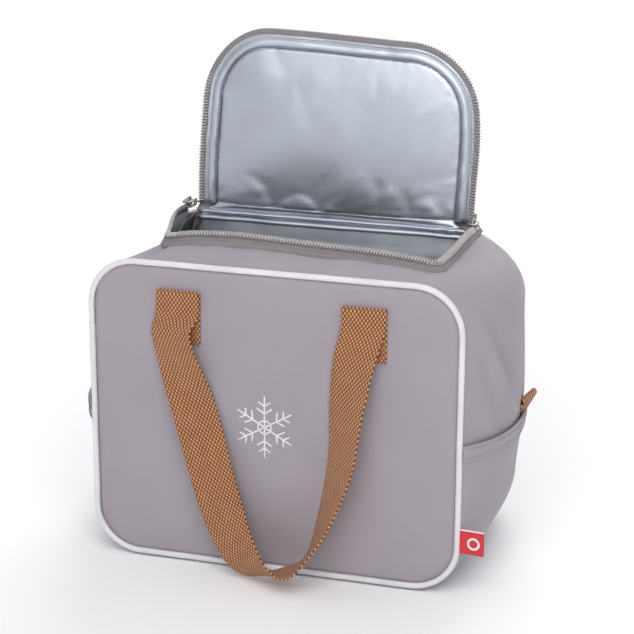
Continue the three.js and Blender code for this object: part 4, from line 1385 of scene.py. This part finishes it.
def make_handle(side):
    """One length of webbing, sewn flat at both ends, with a crossed box of stitches in each."""
    to_world = FRAMES[side]
    centre, across = strap_line()
    width = np.linspace(-0.5, 0.5, 13)
    points = centre[:, None] + across[:, None] * (width * WEBBING_WIDTH)[None, :, None]
    normal = grid_normals(points)
    cup = 0.3 * (1 - (2 * width) ** 2)[None, :, None]
    loop = slice(SEWN_ROWS + FOLD_ROWS, -SEWN_ROWS - FOLD_ROWS)
    free = np.full((len(points), 1, 1), SEWN_CUP)
    free[loop] = 1.0
    points = points + normal * free * (cup + 0.35 * lumps(points, 20, 51)[..., None])
    points[loop, :, 1] = np.minimum(points[loop, :, 1], -LOOP_CLEAR)
    piece = sheet_piece(side + "_handle", to_world(points), webbing, None)
    thicken(piece, WEBBING)
    piece.modifiers["Thickness"].offset = 0
    bevel = piece.modifiers.new("Edges", "BEVEL")
    bevel.width = 0.5 * MM
    bevel.segments = 2
    bevel.limit_method = "ANGLE"
    start, end = to_world([[0, -LOOP_CLEAR + inside, FOLD_Z] for inside in FOLD_BEND])
    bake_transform(piece)
    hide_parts(side + "_handle_left_end", side + "_handle_right_end", side + "_handle_loop")
    rows = []
    half, low, high = WEBBING_WIDTH / 2 - BOX_INSET, HANDLE_END_Z + BOX_INSET, BOX_TOP
    box = [(-half, low), (half, low), (half, high), (-half, high), (-half, low), (half, high)]
    outward = to_world([[0, -1, 0]])[0] - to_world([[0, 0, 0]])[0]
    for x in (-HANDLE_X, HANDLE_X):
        for (x0, z0), (x1, z1) in zip(box, box[1:]):
            ends = spread([(x + x0, 0, z0), (x + x1, 0, z1)], 2.0)
            ends[:, 1] = -(panel_out(ends[:, 0], ends[:, 2]) + SEWN_GAP + WEBBING + 0.1)
            rows.append(stitch_row(to_world(ends), outward, 2.8, 2.0, 0.3))
    make_stitches(side + "_handle_stitches", rows, tan_thread, "bag")


for side in FRAMES:
    make_handle(side)

# ---------------------------------------------------------------- pockets, side tab and label

POCKET_TOP = 122.0
POCKET_HEM = 12.0
POCKET_GAPE = {1: 1.0, -1: -0.8}  # how much further each side's pocket stands off at its top
# Across the hem, as (share of its height, stand-off) stops from its lower edge over the top and inside.
HEM_SECTION = [(0.0, 0.7), (0.0, 1.5), (0.15, 1.8), (0.5, 1.7), (0.9, 1.7), (1.0, 1.1), (1.02, 0.2),
               (0.95, -0.5), (0.5, -0.6)]


def side_point(side, depth, z, stand_off):
    """Points of a side of the bag at a depth and height, moved out by a stand-off."""
    profile = ring_half(depth)[RIM_COLUMN + RING_STEPS["shoulder"]:HALF_RING - RING_STEPS["base"]][::-1]
    x = np.interp(z, profile[:, 1], profile[:, 0])
    slope = np.gradient(x, z)
    normal = unit(np.column_stack([np.ones_like(x), -slope]))
    x, z = x + normal[:, 0] * stand_off, z + normal[:, 1] * stand_off
    return np.column_stack([side * x, body_y(depth, z), z])


def pocket_gape(z, depth, side):
    """How far a pocket stands off the side of the bag."""
    clear = 1 - abs(depth) ** 8
    return 0.5 + 1.1 * clear + POCKET_GAPE[side] * np.clip(z / POCKET_TOP, 0, 1) ** 1.6 * clear


def pocket_wave(points, depths):
    """The waviness of a pocket and its hem, which fades out at the seams."""
    wave = 1.0 * lumps(points, 46, 61) + 0.4 * lumps(points, 18, 62)
    return wave * smoothstep(1 - np.abs(depths), 0, 0.15)[None, :]


def hem_top(depth):
    """The hem sinks a little between its two ends."""
    return POCKET_TOP + 1.5 * abs(depth) ** 3 - 1.5 * (1 - depth**2)


def make_pocket(side, name):
    """A slip pocket on one side, its folded hem and the hem's stitches."""
    depths = np.linspace(-0.995, 0.995, 48)
    columns = []
    for depth in depths:
        top = hem_top(depth) - POCKET_HEM * 0.6
        z = np.concatenate([np.linspace(3.0, 20, 8), np.linspace(24, top, 26)])
        columns.append(side_point(side, depth, z, pocket_gape(z, depth, side)))
    points = np.stack(columns, axis=1)
    out = np.array([side, 0, 0])
    wave = pocket_wave(points, depths) * smoothstep(points[..., 2], 5, 60)
    points = points + out * wave[..., None]
    pocket = sheet_piece(name + "_pocket_cloth", points, cloth, "bag", thickness=1.0, outward=False)
    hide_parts(name + "_pocket")

    columns = []
    for depth in depths:
        top = hem_top(depth)
        z = np.array([top - POCKET_HEM * (1 - share) for share, _ in HEM_SECTION])
        stand = np.array([out_by for _, out_by in HEM_SECTION])
        base = side_point(side, depth, np.linspace(top - POCKET_HEM - 1, top + 2, 20), 0)
        x = np.interp(z, base[:, 2], base[:, 0])
        column = np.column_stack([x + side * (pocket_gape(z, depth, side) + stand), body_y(depth, z), z])
        columns.append(column)
    hem = np.stack(columns, axis=1)
    hem = hem + out * pocket_wave(hem, depths)[..., None]
    strip = sheet_piece(name + "_hem_cloth", hem, cloth, "bag", thickness=0.7, outward=False)
    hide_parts(name + "_pocket_hem")
    seams = (lerp(hem[2], hem[3], 0.3), hem[4])
    rows = [stitch_row(seam + out * 0.15, out, 3.2, 1.9, 0.45) for seam in seams]
    make_stitches(name + "_pocket_stitches", rows, cloth_thread, "bag")


make_pocket(1, "right")
make_pocket(-1, "left")


TAB_BEND_Z = 118.0  # the tab bends outward here, above the pocket's hem
TAB_FOLD = 2.2  # between its two layers
TAB_HALF_WIDTH = 10.5
TAB_ACROSS = np.array([0.28, 0.96, 0.02])


def make_side_tab():
    """A folded end of webbing that sticks up and out from behind the right pocket's hem."""
    low, high = box_mm("side_tab")
    middle_y = (low.y + high.y) / 2
    z = np.linspace(low.z + 4, high.z - 3, 12)
    x = np.interp(z, [z[0], TAB_BEND_Z, z[-1]], [low.x + 1.4, low.x + 6.0, high.x - 2.6])
    up = np.column_stack([x, np.full_like(z, middle_y), z])
    down = (up + (TAB_FOLD, 0, 0))[::-1]
    top = up[-1] + np.array([[0.5, 0, 1.2], [1.1, 0, 1.5], [1.7, 0, 1.2]])
    line = np.vstack([up, top, down])
    width = np.linspace(-TAB_HALF_WIDTH, TAB_HALF_WIDTH, 7)
    points = line[:, None] + width[None, :, None] * TAB_ACROSS
    points[..., 2] += 0.12 * width[None, :]
    tab = sheet_piece("side_tab_webbing", points, webbing, "bag", thickness=1.6)
    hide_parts("side_tab")


def make_side_label():
    """A red woven label, folded in two and sewn into the piping."""
    low, high = box_mm("side_label")
    x = np.linspace(low.x - 3, high.x, 16)
    z = np.linspace(low.z, high.z, 14)
    curl = 1.6 * ((x - x[0]) / (x[-1] - x[0])) ** 2
    across, up = np.meshgrid(x, z, indexing="ij")
    front = np.stack([across, np.broadcast_to(FRONT_Y - 0.7 - curl[:, None], across.shape), up], axis=-1)
    front[..., 1] += 0.4 * lumps(front, 14, 71)
    back = front[::-1] + (0, 1.1, 0)
    fold = front[-1] + (0.5, 0.55, 0)
    points = np.vstack([front, fold[None], back])
    label = sheet_piece("side_label_cloth", points, label_cloth, "bag", thickness=0.35,
                        outward=False)
    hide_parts("side_label")


make_side_tab()
make_side_label()

# ---------------------------------------------------------------- printed snowflake

PRINT_CENTRE = (-5.5, 124.0)
PRINT_RADIUS = 25.0
# As shares of the radius: where each pair of twigs leaves its arm and how long it is, and the hexagon.
TWIGS = ((0.45, 0.28), (0.7, 0.22))
TWIG_ANGLE = 55
HEXAGON = 0.24
BAR_HALF_WIDTH = 0.65


def print_bars():
    """The snowflake as straight bars: six arms, each with two pairs of twigs, and a small hexagon."""
    bars = []
    for k in range(6):
        angle = math.radians(60 * k + 90)
        arm = np.array([math.cos(angle), math.sin(angle)])
        bars.append((arm * 0.0, arm * PRINT_RADIUS))
        for reach, twig in TWIGS:
            for turn in (-1, 1):
                lean = angle + turn * math.radians(TWIG_ANGLE)
                start = arm * PRINT_RADIUS * reach
                bars.append((start, start + PRINT_RADIUS * twig * np.array([math.cos(lean), math.sin(lean)])))
        following = np.array([math.cos(angle + math.pi / 3), math.sin(angle + math.pi / 3)])
        bars.append((arm * PRINT_RADIUS * HEXAGON, following * PRINT_RADIUS * HEXAGON))
    return bars


def make_print():
    """The snowflake printed on the front panel, following its crown."""
    grids = []
    for start, end in print_bars():
        along = unit(end - start)
        side = np.array([-along[1], along[0]]) * BAR_HALF_WIDTH
        line = spread([start - along * BAR_HALF_WIDTH, end + along * BAR_HALF_WIDTH], 2.0)
        flat = line[:, None] + np.array([-1, 1])[None, :, None] * side + np.array(PRINT_CENTRE)
        out = panel_out(flat[..., 0], flat[..., 1]) + 0.12
        grids.append(front_frame(np.stack([flat[..., 0], -out, flat[..., 1]], axis=-1)))
    mark = joined_grids("printed_snowflake", grids, print_ink, "bag")
    thicken(mark, 0.15)


make_print()

# ---------------------------------------------------------------- zip sliders and pulls

# The modelled coil lies this far outside and above the CAD sliders' middle, so sliders and pulls move to it.
COIL_SHIFT = 6.0
SLIDER_LIFT = 4.0
SLIDER_LENGTH = 11.0
SLIDER_SPAN = (-5.4, 0.6)  # its lower and upper face, from the hinge's height
PLATE = 1.6
NECK_RADII = (1.6, 1.3, 1.2, 1.3, 1.6)
BRIDGE_STOPS = [(1.6, -0.4), (2.6, 1.6), (6.5, 2.1), (SLIDER_LENGTH - 0.6, 1.3), (SLIDER_LENGTH - 0.4, -0.5)]
BRIDGE_RADIUS = 0.95
RING_RADIUS, RING_WIRE = 2.6, 0.7
PULL_TIP_LIFT, PULL_SHORT = 1.0, 0.6  # the pull's tip lies this far above and short of the CAD pull's
PULL_HALF_WIDTH, PULL_WAIST, PULL_FLARE = 2.5, 0.5, 0.45
PULL_HALF_THICKNESS = 0.62
EYE_AT, EYE_HALF_LENGTH, EYE_HALF_WIDTH = 2.6, 1.3, 1.15


def plate_grid(x_middle, ys, half_widths, z0, z1):
    """A plate from z0 to z1 with softly squared sections along y, closed at both ends."""
    angles = np.linspace(0, 2 * math.pi, 17)
    across, up = (np.sign(wave) * np.abs(wave) ** 0.5 for wave in (np.cos(angles), np.sin(angles)))
    open_ends = np.pad(np.ones(len(ys)), 1)[:, None]
    y, half_width = (np.pad(values, 1, mode="edge")[:, None] for values in (ys, half_widths))
    x = x_middle + open_ends * half_width * across
    z = (z0 + z1) / 2 + open_ends * (z1 - z0) / 2 * up
    return np.stack([x, np.broadcast_to(y, x.shape), z], axis=-1)


def make_slider(side, name):
    """Two plates joined by a neck at the front, with a bridge on top and a ring for the pull."""
    node = name + "_slider"
    low, high = box_mm(node)
    x_middle = (low.x + high.x) / 2 + side * COIL_SHIFT
    front, back = low.y, low.y + SLIDER_LENGTH
    z_low, z_high = (HINGE.z + z + SLIDER_LIFT for z in SLIDER_SPAN)
    ys = np.linspace(front, back, 12)
    share = (ys - front) / (back - front)
    nose = lerp(0.72, 1.0, np.sin(np.clip(share * 1.4, 0, 1) * math.pi / 2))
    half_widths = (high.x - low.x) / 2 * nose * (1 - 0.25 * smoothstep(share, 0.75, 1.0))
    plates = ((z_low, z_low + PLATE), (z_high - PLATE, z_high))
    grids = [plate_grid(x_middle, ys, half_widths, *span) for span in plates]
    neck = np.array([[x_middle, front + NECK_RADII[0], z] for z in np.linspace(z_low + 1, z_high - 1, 5)])
    grids.append(tube_points(neck, NECK_RADII, 10, up=(0, 1, 0)))
    bridge = spline([(x_middle, front + y, z_high + z) for y, z in BRIDGE_STOPS], 14)
    grids.append(tube_points(bridge, BRIDGE_RADIUS, 8, up=(1, 0, 0)))
    centre = joint_mm(name + "_pull_swing")
    hoop = arc((centre.y, centre.z + SLIDER_LIFT), RING_RADIUS, 0, 360, 25)
    hoop = np.column_stack([np.full(len(hoop), centre.x + side * COIL_SHIFT), hoop])
    grids.append(tube_points(hoop, RING_WIRE, 8, up=(1, 0, 0)))
    slider = joined_grids(name + "_slider_body", grids, metal, node)
    merge_seams(slider)
    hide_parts(node)


def make_pull(side, name):
    """A tapered pull with a rounded end and an eye, lying back from the slider's ring."""
    node = name + "_pull"
    pivot = joint_mm(name + "_pull_swing")
    low, high = box_mm(node)
    tip = np.array([(low.x + high.x) / 2 + side * COIL_SHIFT, high.y, low.z + PULL_TIP_LIFT + SLIDER_LIFT])
    start = np.array([pivot.x + side * COIL_SHIFT, pivot.y, pivot.z + SLIDER_LIFT])
    along = unit(tip - start)
    across = np.array([1.0, 0, 0])
    lift = PULL_HALF_THICKNESS * np.cross(across, along)
    length = float(np.linalg.norm(tip - start)) - PULL_SHORT
    angles = np.linspace(0, 2 * math.pi, 33)
    c, s = np.cos(angles)[:, None], np.sin(angles)[:, None]
    reach = length * (0.46 * np.sign(c) * np.abs(c) ** 0.55 + 0.52)
    waist = PULL_WAIST * smoothstep(reach, 0, length / 2)
    half_width = PULL_HALF_WIDTH - waist + PULL_FLARE * smoothstep(reach, length / 2, length)
    outer = start + reach * along + half_width * np.sign(s) * np.abs(s) ** 0.6 * across
    inner = start + (EYE_AT + EYE_HALF_LENGTH * c) * along + EYE_HALF_WIDTH * s * across
    soft = lerp(outer, outer.mean(axis=0), 0.06)  # the softened edge, a little inside the outline
    edge = 0.45 * lift
    loops = [inner - lift, soft - lift, outer - edge, outer + edge, soft + lift, inner + lift, inner - lift]
    pull = joined_grids(name + "_pull_tab", [np.stack(loops, axis=1)], metal, node)
    merge_seams(pull)
    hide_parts(node)


for side, name in ((1, "right"), (-1, "left")):
    make_slider(side, name)
    make_pull(side, name)
